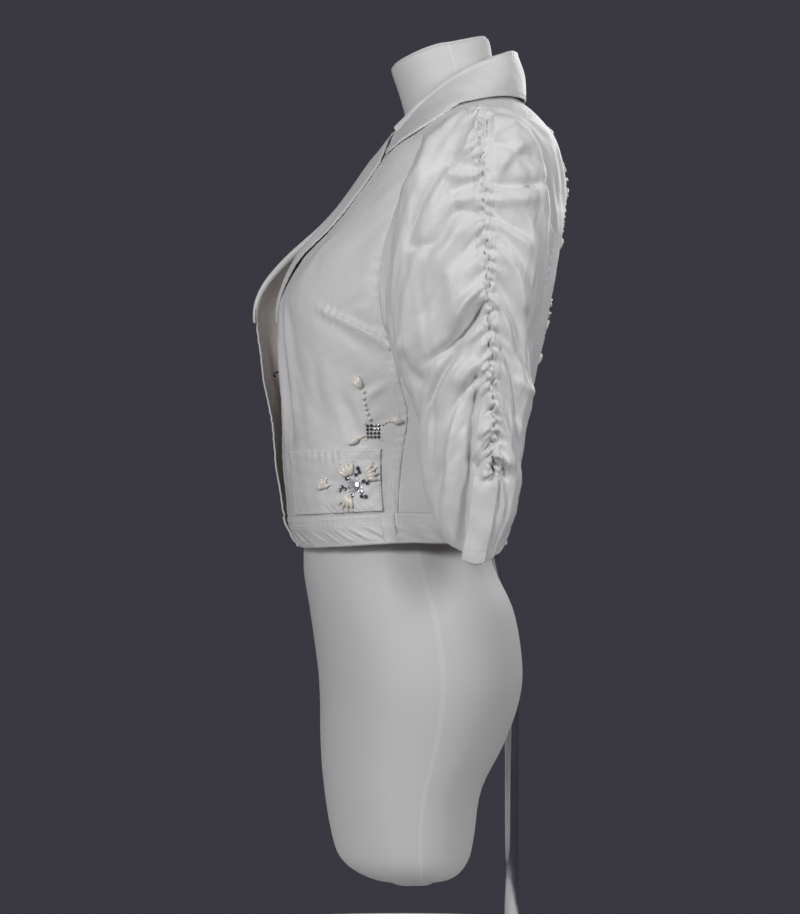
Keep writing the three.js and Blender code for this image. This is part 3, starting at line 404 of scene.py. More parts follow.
def cotton(name, low, high, roughness, sheen):
    """Diagonal twill lines and slubs in the bump, washed patches in the colour and the roughness."""
    made = material(name, high, roughness, Sheen_Weight=sheen, Sheen_Roughness=0.35,
                    Specular_IOR_Level=0.55)
    shader = made.node_tree.nodes["Principled BSDF"]
    uv = node(made, "ShaderNodeTexCoord")
    twill = node(made, "ShaderNodeTexWave", wave_type="BANDS", bands_direction="DIAGONAL",
                 Scale=TWILL_PER_METRE / 6.3, Distortion=0.6, Detail=1.0)
    slub = node(made, "ShaderNodeTexNoise", Scale=SLUB_PER_METRE, Detail=3.0, Roughness=0.6)
    patch = node(made, "ShaderNodeTexNoise", Scale=14.0, Detail=4.0, Roughness=0.55)
    crinkle = node(made, "ShaderNodeTexNoise", Scale=75.0, Detail=3.0, Roughness=0.5, Distortion=0.8)
    for texture in (twill, slub, patch, crinkle):
        link(made, uv, "UV", texture, "Vector")
    tint = ramp(made, patch, "Fac", low, high)
    link(made, tint, "Color", shader, "Base Color")
    wandering_roughness(made, patch, roughness - 0.07, roughness + 0.09)
    weave = node(made, "ShaderNodeBump", Strength=0.25, Distance=0.00015)
    yarn = node(made, "ShaderNodeBump", Strength=0.4, Distance=0.0003)
    link(made, twill, "Fac", weave, "Height")
    link(made, slub, "Fac", yarn, "Height")
    worn = node(made, "ShaderNodeBump", Strength=0.32, Distance=0.0014)
    link(made, crinkle, "Fac", worn, "Height")
    link(made, weave, "Normal", yarn, "Normal")
    link(made, yarn, "Normal", worn, "Normal")
    link(made, worn, "Normal", shader, "Normal")
    return made


COTTON = cotton("cotton", (0.76, 0.76, 0.763), (0.845, 0.842, 0.835), 0.46, 0.1)
# The inside's warm beige is painted bounce light for the shaded gaps between the pieces.
COTTON_PAINTED_BOUNCE = cotton("cotton_inside_painted_bounce", (0.86, 0.79, 0.73), (0.92, 0.87, 0.81), 0.75, 0.1)
print("cloth materials:", COTTON.name, COTTON_PAINTED_BOUNCE.name)


# %% Plastic, metals, pearls, stones and thread
BUMP_DEEP = 0.0002


def mottled(made, scale, low, high, bump=0.0):
    """Roughness that wanders between two values in object coordinates, with an optional fine bump."""
    place = node(made, "ShaderNodeTexCoord")
    cloud = node(made, "ShaderNodeTexNoise", Scale=scale, Detail=4.0)
    link(made, place, "Object", cloud, "Vector")
    wandering_roughness(made, cloud, low, high)
    if bump:
        raised = node(made, "ShaderNodeBump", Strength=bump, Distance=BUMP_DEEP)
        link(made, cloud, "Fac", raised, "Height")
        link(made, raised, "Normal", made.node_tree.nodes["Principled BSDF"], "Normal")
    return made


PLASTIC = mottled(material("form_plastic", (0.75, 0.74, 0.735), 0.6, Coat_Weight=0.03), 35, 0.56, 0.68, 0.05)
# The seam's faces get a lighter plastic: a painted highlight along the mould seam's small ridge.
SEAM_PAINTED_HIGHLIGHT = mottled(material("mould_seam_painted_highlight", (0.8, 0.79, 0.785), 0.6), 35, 0.55, 0.68)
CHROME = mottled(material("chrome", (0.72, 0.73, 0.75), 0.12, 1.0), 60, 0.07, 0.2)
STEEL = mottled(material("base_steel", (0.5, 0.51, 0.53), 0.32, 1.0), 25, 0.26, 0.42, 0.05)
PEARL = mottled(material("pearl", (0.92, 0.86, 0.77), 0.2, Coat_Weight=1.0, Coat_Roughness=0.08,
                         Sheen_Weight=0.1), 300, 0.16, 0.32)
DARK_STONE = mottled(material("dark_stone", (0.26, 0.25, 0.27), 0.1, 0.85, Coat_Weight=1.0), 500, 0.05, 0.16)
CRYSTAL = mottled(material("crystal", (0.80, 0.83, 0.88), 0.06, 0.55, Coat_Weight=1.0), 500, 0.03, 0.1)
HOOK_METAL = mottled(material("hook_metal", (0.03, 0.028, 0.032), 0.3, 0.8), 400, 0.22, 0.4)
THREAD = mottled(material("thread", (0.85, 0.855, 0.86), 0.55, Sheen_Weight=0.2), 900, 0.5, 0.7)
print("materials:", len(bpy.data.materials))

# %% [markdown]
# ## Sewing
# Topstitching shows as rows of short raised threads. Each stitch is a small tapered bar laid on the cloth
# from one needle hole to the next. Bump could only paint them, and a curve object for each row would be
# slow, so all the stitches of a row are worked out together as arrays and joined in one mesh.

# %% Sampling a grid and laying stitches on it
def sample(points, rows, columns):
    """Points of a grid at fractional rows and columns, blended between the four around each."""
    j = np.clip(rows, 0, points.shape[0] - 1.001).astype(int)
    i = np.clip(columns, 0, points.shape[1] - 1.001).astype(int)
    v, u = (rows - j)[:, None], (columns - i)[:, None]
    return ((1 - v) * ((1 - u) * points[j, i] + u * points[j, i + 1])
            + v * ((1 - u) * points[j + 1, i] + u * points[j + 1, i + 1]))


STITCH, STITCH_GAP, STITCH_WIDE = 2.4, 1.0, 0.42
BAR_RINGS, BAR_SIDES, NEAR, PATH_STEPS = 4, 6, 0.4, 6
sewn = []


def sew(points, rows, columns, inside, stitch=STITCH, wide=STITCH_WIDE):
    """Bars of six sides from hole to hole along a line on a grid, thickest in the middle."""
    fine = np.linspace(0, 1, PATH_STEPS * len(rows))
    spread = np.linspace(0, 1, len(rows))
    j, i = np.interp(fine, spread, rows), np.interp(fine, spread, columns)
    path = sample(points, j, i)
    away = np.concatenate([[0], np.cumsum(length(np.diff(path, axis=0)))])
    count = int(away[-1] // (stitch + STITCH_GAP))
    if count < 1:
        return
    starts = (np.arange(count) + 0.1) * away[-1] / count
    stations = starts[:, None] + np.array([0, 0.2, 0.8, 1]) * stitch
    at_j, at_i = np.interp(stations, away, j), np.interp(stations, away, i)
    centre = sample(points, at_j.ravel(), at_i.ravel()).reshape(count, BAR_RINGS, 3)
    along = centre[:, 3] - centre[:, 0]
    along /= np.maximum(length(along), 1e-6)[:, None]
    row, column = at_j[:, 1], at_i[:, 1]
    side_step = sample(points, row, column + NEAR) - sample(points, row, column - NEAR)
    down_step = sample(points, row + NEAR, column) - sample(points, row - NEAR, column)
    up = np.cross(side_step, down_step)
    up /= np.maximum(length(up), 1e-9)[:, None]
    middle = centre.mean(1)
    up *= np.sign(np.sum(up * (middle - inside(middle)), -1))[:, None]
    across = np.cross(along, up)
    angle = np.linspace(0, 2 * np.pi, BAR_SIDES, endpoint=False)
    size = np.array([0.25, 1, 1, 0.25])[None, :, None, None] * wide
    ring = (np.cos(angle)[:, None] * across[:, None, None] + 0.8 * np.sin(angle)[:, None] * up[:, None, None])
    rise = np.array([-0.05, 0.16, 0.16, -0.05])[None, :, None, None] * up[:, None, None]
    sewn.append((centre[:, :, None] + size * ring + rise).reshape(-1, 3))


def sewing_object(name):
    """Join all the stitches laid so far in one mesh."""
    points = np.concatenate(sewn)
    in_bar = BAR_RINGS * BAR_SIDES
    count = len(points) // in_bar
    bar = grid_quads(BAR_RINGS, BAR_SIDES, wrap=True)
    made = mesh_object(name, points, (np.arange(count)[:, None, None] * in_bar + bar).reshape(-1, 4))
    made.data.materials.append(THREAD)
    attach(made, "root")
    sewn.clear()
    print(f"{name}: {count} stitches")


def column_at(distance, away):
    """Fractional column of each row where the distance from the row's start reaches `away`."""
    k = np.clip((distance < away).sum(1) - 1, 0, distance.shape[1] - 2)
    rows = np.arange(len(k))
    near, far = distance[rows, k], distance[rows, k + 1]
    return k + np.clip((away - near) / np.maximum(far - near, 1e-6), 0, 1)


def sew_beside(points, distance, line, stops, inside, over_columns=False, far=False):
    """Stitches `line` mm from an edge, `far` being the grid's last edge. The stops are the rows that the
    line runs down, or with `over_columns` the columns that it runs across."""
    away = distance.T if over_columns else distance
    found = column_at(away[:, ::-1] if far else away, line)
    if far:
        found = away.shape[1] - 1 - found
    at_stops = found[stops.astype(int)]
    rows, columns = (at_stops, stops) if over_columns else (stops, at_stops)
    sew(points, rows, columns, inside)
    return found


def sew_at_level(points, level, line, **bar):
    """Stitches along one level of the body, two columns short of each end of the piece."""
    columns = np.arange(2.0, points.shape[1] - 2.0)
    rows = np.full(len(columns), np.interp(line, level[:, 0], np.arange(len(level))))
    sew(points, rows, columns, in_body, **bar)


# %% [markdown]
# ## The torso
# The form is one smooth moulding, with a faint seam down each side where the two halves of the mould
# met: a small ridge, whose faces are painted a lighter plastic as a highlight. Here it is a single closed
# grid: sections from the thighs to the neck, then a shallow cap at each end. Metaballs or sculpting
# would not give the same waist and hip on both sides.

# %% Torso surface
CLEFT_WIDTH, MOULD_SEAM_TURN, MOULD_SEAM, FORM_TOP = 20, 95, 2.2, 25


def form_point(turn, at):
    """Section of the torso, drawn in at the centre back and front by cleft and part, gauss-shaped in x."""
    ring = read(FORM, at)
    point = ring_point(ring, np.radians(turn))
    dip = np.exp(-(point[..., 0] / CLEFT_WIDTH)**2)
    point[..., 1] += np.where(np.cos(np.radians(turn)) > 0, ring["part"], -ring["cleft"]) * dip
    return point


def capped(turns, at, radius, side):
    """Rings past the last section: a quarter round of this radius, then a flat top to the middle."""
    rim = form_point(turns, np.full_like(turns, at))
    middle = rim.mean(0)
    wide = length(rim - middle).mean()
    angles = np.linspace(0.3, np.pi / 2, 5)
    around = [(1 - radius / wide * (1 - np.cos(a)), radius * np.sin(a)) for a in angles]
    flat = [(around[-1][0] * inward, radius) for inward in (0.85, 0.55, 0.25, 0.0)]
    return np.stack([middle + (rim - middle) * shrink + [0, 0, side * rise]
                     for shrink, rise in around + flat])


form_turns = np.linspace(0, 360, 150, endpoint=False)
form_turns = form_turns - 7 * np.sin(np.radians(2 * form_turns))
form_levels = np.linspace(0, FORM_TOP, 112)
torso = form_point(*np.meshgrid(form_turns, form_levels))
beside = np.abs(np.abs((form_turns + 180) % 360 - 180) - MOULD_SEAM_TURN)
ridge = 0.35 * np.exp(-(beside / MOULD_SEAM)**4)
torso[..., 0] *= 1 + ridge / np.maximum(np.abs(torso[..., 0]), 20)
torso = np.concatenate([capped(form_turns, 0, 5, -1)[::-1], torso, capped(form_turns, FORM_TOP, 1.6, 1)])
form = grid_object("torso", torso, wrap=True)
form.data.materials.append(PLASTIC)
form.data.materials.append(SEAM_PAINTED_HIGHLIGHT)
# Faces on the seam take the lighter plastic, a painted highlight on its ridge.
seam_highlight_faces = np.tile(beside < MOULD_SEAM, len(torso) - 1)
form.data.polygons.foreach_set("material_index", seam_highlight_faces.astype(np.int32))
stands_for(form, "dress_form")
print("torso:", len(form.data.polygons), "faces")

# %% [markdown]
# ## Fronts
# Each front runs from the front edge to the side seam, is cut away for the armhole and the neck, and has
# a dart from the side that shapes the bust. The rows of the grid follow the seam below the arm, then the
# armhole, then the shoulder, so the piece's edges are the real edges of the cut.

# %% Rows of a front or back piece
def edge_turn(level):
    """Turn of the front edge or neckline, from its distance x to the centre plane."""
    ring = read(BODY, level)
    return np.degrees(np.arcsin((read(FRONT_EDGE, level)["x"] / ring["half"])**(ring["square"] / 2)))


UNDER_BAND, EDGE_IN = 0.03, 0.1


def side_line(seam, corner, top, counts):
    """Turn and level down the side of a panel: seam, armhole, then shoulder, with rows as counted."""
    corner_level = read(ARMHOLE, corner)["level"]
    below = np.linspace(BAND_TOP - UNDER_BAND, corner_level, counts[0])
    around = read(ARMHOLE, np.linspace(corner, top, counts[1] + 1)[1:])
    above = np.linspace(SHOULDER_TOP, NECK_SEAM - 0.012, counts[2] + 1)[1:]
    turn = np.concatenate([read(seam, below)["turn"], around["turn"], np.full(counts[2], 90.0)])
    return turn, np.concatenate([below, around["level"], above])


FRONT_FOLDS = table("u v u2 v2 width depth bow", [
    (9, 7, 24, 3.3, 7, -4.2, 4), (16, 6.8, 33, 3.4, 7, 3.4, -3), (6, 6, 17, 3.2, 5, 2.6, 2),
    (60, 4.6, 74, 3.2, 7, -2.6, 3), (44, 5.4, 52, 3.5, 9, -1.6, 4), (30, 5.2, 40, 3.5, 6, 1.2, -3),
    (66, 8.9, 52, 7.8, 8, -1.6, 5), (64, 9.8, 48, 9.2, 9, 1.3, 4), (72, 7.4, 60, 6.5, 6, -1.3, -3),
    (83, 4.9, 70, 4.3, 5, 1.4, 3), (85, 4, 72, 3.6, 5, -1.3, 3), (34, 8.6, 26, 7.2, 9, 1.1, 4),
    (14, 4.4, 20, 2.6, 5, -1.4, 2), (27, 4.6, 26, 3.4, 5, 1.2, -2), (78, 11.6, 62, 10.8, 6, -1.4, 2),
])
DART_TURN, DART_END_TURN, DART_LEVEL, DART_END_LEVEL = 40, 80, 6.7, 5.6
DEGREE_MM, LEVEL_MM = 2.4, 42
DART_LINE = 3.2


def dart_height(turn, level):
    """A raised band along the dart: two stitched lines with short slanting puckers between them."""
    t = (turn - DART_TURN) / (DART_END_TURN - DART_TURN)
    across = (level - DART_LEVEL - (DART_END_LEVEL - DART_LEVEL) * t) * LEVEL_MM
    along = t * (DART_END_TURN - DART_TURN) * DEGREE_MM
    fade = smooth(t * 4) * smooth((1.08 - t) * 9)
    band = 1.9 * np.exp(-(across / 4.6)**4)
    lines = groove(across, DART_LINE, 0.9) + groove(across, -DART_LINE, 0.9)
    drawn = pucker(across, along, 9, 8.5, 1.0, 3)
    hollow = -1.7 * np.exp(-((across + 11) / 7)**2) - 0.6 * np.exp(-((across - 10) / 6)**2)
    return (band + lines + drawn + hollow) * fade


# %% What the panels share
def hand(side):
    """The wearer's hand that a side of 1 or -1 stands for."""
    return "left" if side > 0 else "right"


def above_band(level):
    """0 at the waistband and 1 a little above it, so that no fold runs over the seam."""
    return smooth((level - BAND_TOP) * 2.5)


def tucked(up):
    """A panel's lowest edge, drawn in under the waistband."""
    return -0.8 * smooth(1.5 - up / 1.3)


def lapped(distance):
    """A side panel's edge, drawn in under its neighbour."""
    return -0.5 * smooth(1.4 - distance / 1.1)


# %% Fronts
FRONT_SEAM_LINES = (2.6, 8.6)
FRONT_EDGE_LINE, ARMHOLE_LINE = 5, 3
fronts = {}
front_turn, front_level = side_line(SIDE_FRONT_SEAM, FRONT_CORNER, 0, (76, 96, 40))


def front_panel(side, seed):
    """Body surface raised by folds, dart, seam puckers, stitched lines and a turned edge."""
    first = edge_turn(front_level)[:, None] + EDGE_IN
    t = edge_stops(84, 3, 240)[None, :]
    turn = first + (front_turn[:, None] - first) * t
    level = np.broadcast_to(front_level[:, None], turn.shape)
    base = body_point(side * turn, level)
    across, up = run(base, 1), run(base, 0)
    to_side, to_front = across[:, -1:] - across, across
    fade = smooth((1 - t) * 6) * above_band(level)
    below_arm = smooth((6.2 - level) / 0.6)
    height = fold_sum(FRONT_FOLDS, turn, level, DEGREE_MM, LEVEL_MM) * fade * smooth(to_front / 12)
    height += dart_height(turn, level)
    height += 0.8 * crumple(across, up, 80, seed) * fade + 0.22 * crumple(across, up, 24, seed + 1)
    height += pucker(to_side, up, 12, 9.5, 0.55, seed) * below_arm
    height += pucker(to_side, up, 9, 12, 0.5, seed + 2) * (1 - below_arm) * smooth((11.6 - level) * 3)
    height += pucker(to_front, up, 10, 10, 0.42, seed + 3) * smooth((6.4 - level) * 2)
    height += pucker(up, across, 9, 9, 0.5, seed + 4)
    for line in FRONT_SEAM_LINES:
        height += groove(to_side, line, 0.4) * below_arm
    height += groove(to_side, ARMHOLE_LINE, 0.4) * (1 - below_arm)
    height += groove(to_front, FRONT_EDGE_LINE, 0.4) * smooth((6.3 - level) * 3)
    height += 0.7 * np.exp(-(to_side / 9)**6) * below_arm
    height += rolled(to_side, 0.6) + rolled(to_front, 1.0) + tucked(up)
    points = beside_body(side * turn, level, 0, height)
    fronts[side] = {"points": points, "turn": turn, "across": across, "side": to_side}
    cloth(hand(side) + "_front_cloth", points, hand(side) + "_front", PANEL_THICK, (0.26, 0.48), 0.72,
          in_body)


for side, seed in ((1, 11), (-1, 23)):
    front_panel(side, seed)

# %% Stitching on the fronts
def front_place(panel, turn, level):
    """Fractional row and column of a front's grid at a turn and a level."""
    rows = np.interp(level, front_level, np.arange(len(front_level)))
    j = np.round(rows).astype(int)
    columns = [np.interp(a, panel["turn"][k], np.arange(panel["turn"].shape[1])) for a, k in zip(turn, j)]
    return rows, np.array(columns)


all_rows = np.arange(len(front_level), dtype=float)
low_rows, arm_rows = all_rows[front_level < 5.9], all_rows[(front_level > 6.0) & (front_level < 11.7)]
for panel in fronts.values():
    for line in FRONT_SEAM_LINES:
        sew_beside(panel["points"], panel["side"], line, low_rows, in_body, far=True)
    sew_beside(panel["points"], panel["side"], ARMHOLE_LINE, arm_rows, in_body, far=True)
    sew_beside(panel["points"], panel["across"], FRONT_EDGE_LINE, all_rows[front_level < 6.2], in_body)
    for line in (-DART_LINE, DART_LINE):
        t = np.linspace(0.03, 0.99, 60)
        dart_turn = DART_TURN + (DART_END_TURN - DART_TURN) * t
        dart_level = DART_LEVEL + (DART_END_LEVEL - DART_LEVEL) * t + line / LEVEL_MM
        sew(panel["points"], *front_place(panel, dart_turn, dart_level), in_body)
sewing_object("front_topstitching")

# %% [markdown]
# ## Side panels and back
# The side panels are smooth pieces under the arms and the back is cut in one, with its seams curving from
# the armhole down to the waistband. Both carry the same seam puckers, and the back has a few soft folds.

# %% Side panels
SIDE_LINE = 3


def side_panel(side, seed):
    """The surface between two seams, its top edge cut away to the armhole."""
    u = edge_stops(44, 2.5, 120)[None, :]
    s = np.linspace(0, 1, 72)[:, None]
    arm = read(ARMHOLE, FRONT_CORNER + (BACK_CORNER - FRONT_CORNER) * u)
    level = BAND_TOP - UNDER_BAND + (arm["level"] - 0.006 + UNDER_BAND - BAND_TOP) * s

    def between(at):
        """Turn of the panel's columns between its two seams."""
        return read(SIDE_FRONT_SEAM, at)["turn"] * (1 - u) + read(BACK_SEAM, at)["turn"] * u

    turn = between(level) + s * s * (arm["turn"] - between(arm["level"])) - 0.4 * (1 - 2 * u)
    base = body_point(side * turn, level)
    across, up = run(base, 1), run(base, 0)
    to_back = across[:, -1:] - across
    height = 0.5 * crumple(across, up, 80, seed) * smooth(up / 20)
    height += pucker(across, up, 8, 11, 0.3, seed) + pucker(to_back, up, 10, 10, 0.45, seed + 1)
    height += pucker(up, across, 9, 9, 0.5, seed + 2) + groove(to_back, SIDE_LINE, 0.4)
    height += lapped(across) + lapped(to_back) + tucked(up)
    points = beside_body(side * turn, level, 0, height)
    cloth(hand(side) + "_side_cloth", points, hand(side) + "_side_panel", PANEL_THICK, (0.15, 0.34), 0.6,
          in_body)
    sew_beside(points, to_back, SIDE_LINE, np.arange(2.0, 66.0), in_body, far=True)


for side, seed in ((1, 31), (-1, 37)):
    side_panel(side, seed)

# %% Back
BACK_FOLDS = table("u v u2 v2 width depth bow", [
    (168, 6.8, 160, 3, 9, -3.2, 4), (192, 6.4, 199, 3, 9, -3.2, -4), (150, 11, 161, 9, 8, -2.2, 3),
    (210, 11, 199, 9, 8, -2.2, -3), (175, 5.4, 171, 2.8, 7, 2.2, 2), (186, 5.2, 188, 2.8, 6, 1.8, -2),
    (155, 4.8, 152, 2.8, 6, 1.8, 2), (207, 4.9, 209, 2.8, 6, 1.6, -2), (140, 9.8, 152, 8.4, 7, 1.8, 3),
    (221, 9.8, 208, 8.4, 7, 1.8, -3), (166, 13.2, 172, 11.5, 9, -1.4, 2),
    (196, 13.2, 189, 11.4, 9, -1.3, -2), (128, 12, 142, 10.8, 8, -1.5, 3), (232, 12, 218, 10.8, 8, -1.5, -3),
])
back_turn, back_level = side_line(BACK_SEAM, BACK_CORNER, 360, (104, 36, 40))


def back_panel():
    """The back between its two side lines, raised by folds, puckers and stitched lines."""
    reach = 180 - back_turn[:, None]
    t = edge_stops(104, 3, 300)[None, :]
    turn = 180 + reach * (2 * t - 1)
    level = np.broadcast_to(back_level[:, None], turn.shape)
    base = body_point(turn, level)
    across, up = run(base, 1), run(base, 0)
    to_right = across[:, -1:] - across
    to_edge = np.minimum(across, to_right)
    fade = smooth(t * 6) * smooth((1 - t) * 6) * above_band(level)
    below_arm = smooth((9.8 - level) / 0.5)
    height = fold_sum(BACK_FOLDS, turn, level, DEGREE_MM, LEVEL_MM) * fade
    height += 0.6 * crumple(across, up, 100, 41) * fade + 0.15 * crumple(across, up, 24, 42)
    height += pucker(to_edge, up, 10, 10, 0.55, 43) * below_arm + pucker(up, across, 9, 9.5, 0.5, 44)
    height += pucker(to_edge, up, 8, 11, 0.4, 45) * (1 - below_arm) * smooth((11.6 - level) * 3)
    height += groove(to_edge, SIDE_LINE, 0.4) + rolled(across, 0.6) + rolled(to_right, 0.6) + tucked(up)
    points = beside_body(turn, level, 0, height)
    cloth("back_cloth", points, "back", PANEL_THICK, (0.36, 0.49), 0.82, in_body)
    rows = np.arange(2.0, 138.0)
    sew_beside(points, across, SIDE_LINE, rows, in_body)
    sew_beside(points, to_right, SIDE_LINE, rows, in_body, far=True)
    return points


back_points = back_panel()
sewing_object("side_and_back_topstitching")

# %% [markdown]
# ## Waistband, side tabs and pockets
# The band is two layers of cloth, pulled into slanting twists by its rows of stitching, three below the
# seam and one above the hem. The patch pockets lie on the fronts and follow their folds, so each is made
# from the front's own folds plus a raise. Modelling them flat and shrink-wrapping them would smooth those
# folds away.

# %% Waistband
BAND_LEVELS, BAND_LEVEL_MM = (1.86, 1.62, 1.36, 0.26), 15.5
TAB_IN, TAB_OUT, TAB_GAP, TAB_OVER = 79, 84, 0.15, 0.55


def band(which, start, end, columns, seed, flat):
    """Band from the hem to the seam: raised by slanting twists, pressed in along its rows of stitches."""
    t = edge_stops(columns, 2.5, abs(end - start) * DEGREE_MM)[None, :]
    s = edge_stops(20, 2.5, 31)[:, None]
    turn = start + (end - start) * t
    level = (BAND_TOP - 0.006) * s
    turn, level = np.broadcast_arrays(turn, level)
    base = body_point(turn, level)
    across, up = run(base, 1), run(base, 0)
    twist = across + 1.5 * up + 5 * np.sin(across / 31 + seed)
    uneven = 0.65 + 0.35 * np.sin(across / 43 + 2 * seed)
    body = np.sin(np.pi * np.clip((up - 3) / 17, 0, 1))
    height = 0.7 + 1.3 * uneven * np.sin(2 * np.pi * twist / 23) * body
    height += 0.5 * np.sin(2 * np.pi * twist / 11 + seed) * body + 0.8 * crumple(across, up, 60, seed)
    height += pucker(up - 26, across, 6, 6.5, 0.35, seed)
    for line in BAND_LEVELS:
        height += groove(level * BAND_LEVEL_MM, line * BAND_LEVEL_MM, 0.4)
    height += rolled(up, 1.3) + rolled(up[-1:] - up, 0.8)
    height += rolled(across, 1.0) + rolled(across[:, -1:] - across, 1.0)
    points = beside_body(turn, level, 0, height)
    cloth(which + "_band_cloth", points, which + "_waistband", 2.6, flat, 0.97, in_body)
    for line in BAND_LEVELS:
        sew_at_level(points, level, line)


band_start = float(edge_turn(np.array(1.0))) + EDGE_IN
band("left", band_start, TAB_IN - TAB_GAP, 104, 1.1, (0.22, 0.033))
band("right", -TAB_IN + TAB_GAP, -band_start, 104, 2.3, (0.22, 0.033))
band("back", TAB_OUT + TAB_GAP, 360 - TAB_OUT - TAB_GAP, 210, 3.7, (0.49, 0.033))

# %% Side tabs
TACK_LEVELS = (1.9, 1.75, 1.6)


def side_tab(which, start, end):
    """A short flat strip across the band, with bar tacks at its upper end."""
    t = edge_stops(14, 1.5, 12)[None, :]
    s = edge_stops(20, 1.5, 31)[:, None]
    turn, level = np.broadcast_arrays(start + (end - start) * t, 0.01 + (BAND_TOP - 0.016) * s)
    base = body_point(turn, level)
    across, up = run(base, 1), run(base, 0)
    to_edge = np.minimum(across, across[:, -1:] - across)
    height = (2.0 + rolled(to_edge, 1.0) + rolled(up, 1.0) + groove(to_edge, 2, 0.3)
              + 0.3 * crumple(across, up, 30, 5))
    points = beside_body(turn, level, 0, height)
    cloth(which + "_tab_cloth", points, which + "_side_tab", 2.2, (0.016, 0.032), 0.98, in_body)
    for line in TACK_LEVELS:
        sew_at_level(points, level, line, stitch=1.2, wide=0.4)


side_tab("left", TAB_IN - TAB_OVER, TAB_OUT + TAB_OVER)
side_tab("right", -TAB_OUT - TAB_OVER, TAB_OVER - TAB_IN)
sewing_object("waistband_topstitching")

# %% Pockets
POCKET_IN, POCKET_OUT, POCKET_LOW, POCKET_TOP = 24, 80, 2.06, 3.28
POCKET_TOP_LINES, POCKET_LINE = (2.5, 9.5), 2.6


def pocket(side, seed):
    """The front's folds plus a raise, with a hemmed top, stitched round its other three sides."""
    t = edge_stops(74, 2.5, 140)[None, :]
    s = edge_stops(40, 2.5, 60)[:, None]
    turn, level = np.broadcast_arrays(
        POCKET_IN + (POCKET_OUT - POCKET_IN) * t, POCKET_LOW + (POCKET_TOP + 0.05 * t - POCKET_LOW) * s)
    base = body_point(side * turn, level)
    across, up = run(base, 1), run(base, 0)
    to_side, to_top = across[:, -1:] - across, up[-1:] - up
    edge = np.minimum(np.minimum(across, to_side), up)
    soft = fold_sum(FRONT_FOLDS, turn, level, DEGREE_MM, LEVEL_MM) * above_band(level)
    height = (2.6 + np.maximum(soft, 0) + 1.2 * crumple(across, up, 55, seed)
              + 0.5 * crumple(across, up, 21, seed))
    height += pucker(edge, across + up, 9, 8.5, 0.6, seed) + pucker(to_top - 6, across, 9, 9, 0.5, seed + 1)
    height += 0.5 * np.exp(-((to_top - 5) / 6)**6) + groove(edge, POCKET_LINE, 0.45)
    for line in POCKET_TOP_LINES:
        height += groove(to_top, line, 0.45)
    height += rolled(edge, 1.0) + rolled(to_top, 1.1)
    points = beside_body(side * turn, level, 0, height)
    cloth(hand(side) + "_pocket_cloth", points, hand(side) + "_pocket", 1.5, (0.145, 0.062), 0.98, in_body)
    rows, columns = (np.arange(2.0, count - 2.0) for count in points.shape[:2])
    for line in POCKET_TOP_LINES:
        sew_beside(points, to_top, line, columns, in_body, over_columns=True, far=True)
    sew_beside(points, up, POCKET_LINE, columns, in_body, over_columns=True)
    sew_beside(points, across, POCKET_LINE, rows, in_body)
    sew_beside(points, to_side, POCKET_LINE, rows, in_body, far=True)
    return points


pocket_points = {side: pocket(side, seed) for side, seed in ((1, 51), (-1, 57))}
sewing_object("pocket_topstitching")

# %% [markdown]
# ## Lapels and collar
# A lapel is the front's own edge turned back over a roll and lying on the chest. The collar rises from
# the neck seam, turns over at its fold and falls to an outer edge that lifts a little from the shoulders.
# Each is one kind of profile carried along a line, its sizes read from a table, which keeps the roll even.

# %% Lapels
LAPEL = table("at reach lift radius fall", [
    (6.3, 4, 0.4, 2.5, 0), (7, 12, 1, 3, 0.1), (8, 32, 2.2, 4.2, 0.3), (9, 47, 3, 4.2, 0.6),
    (10, 56, 2.5, 4.2, 0.9), (11, 62, 2, 4.2, 1.2), (12, 67, 2, 4.2, 1.6), (12.75, 70, 2, 4.2, 2)])
LAPEL_BREAK, LAPEL_TOP, CAD_CLOTH = 6.3, 12.75, 2
LAPEL_LINE, LAPEL_LOW, LAPEL_SLIT, LAPEL_SLIT_LEVEL = 4, 2.3, 2.4, 8.3


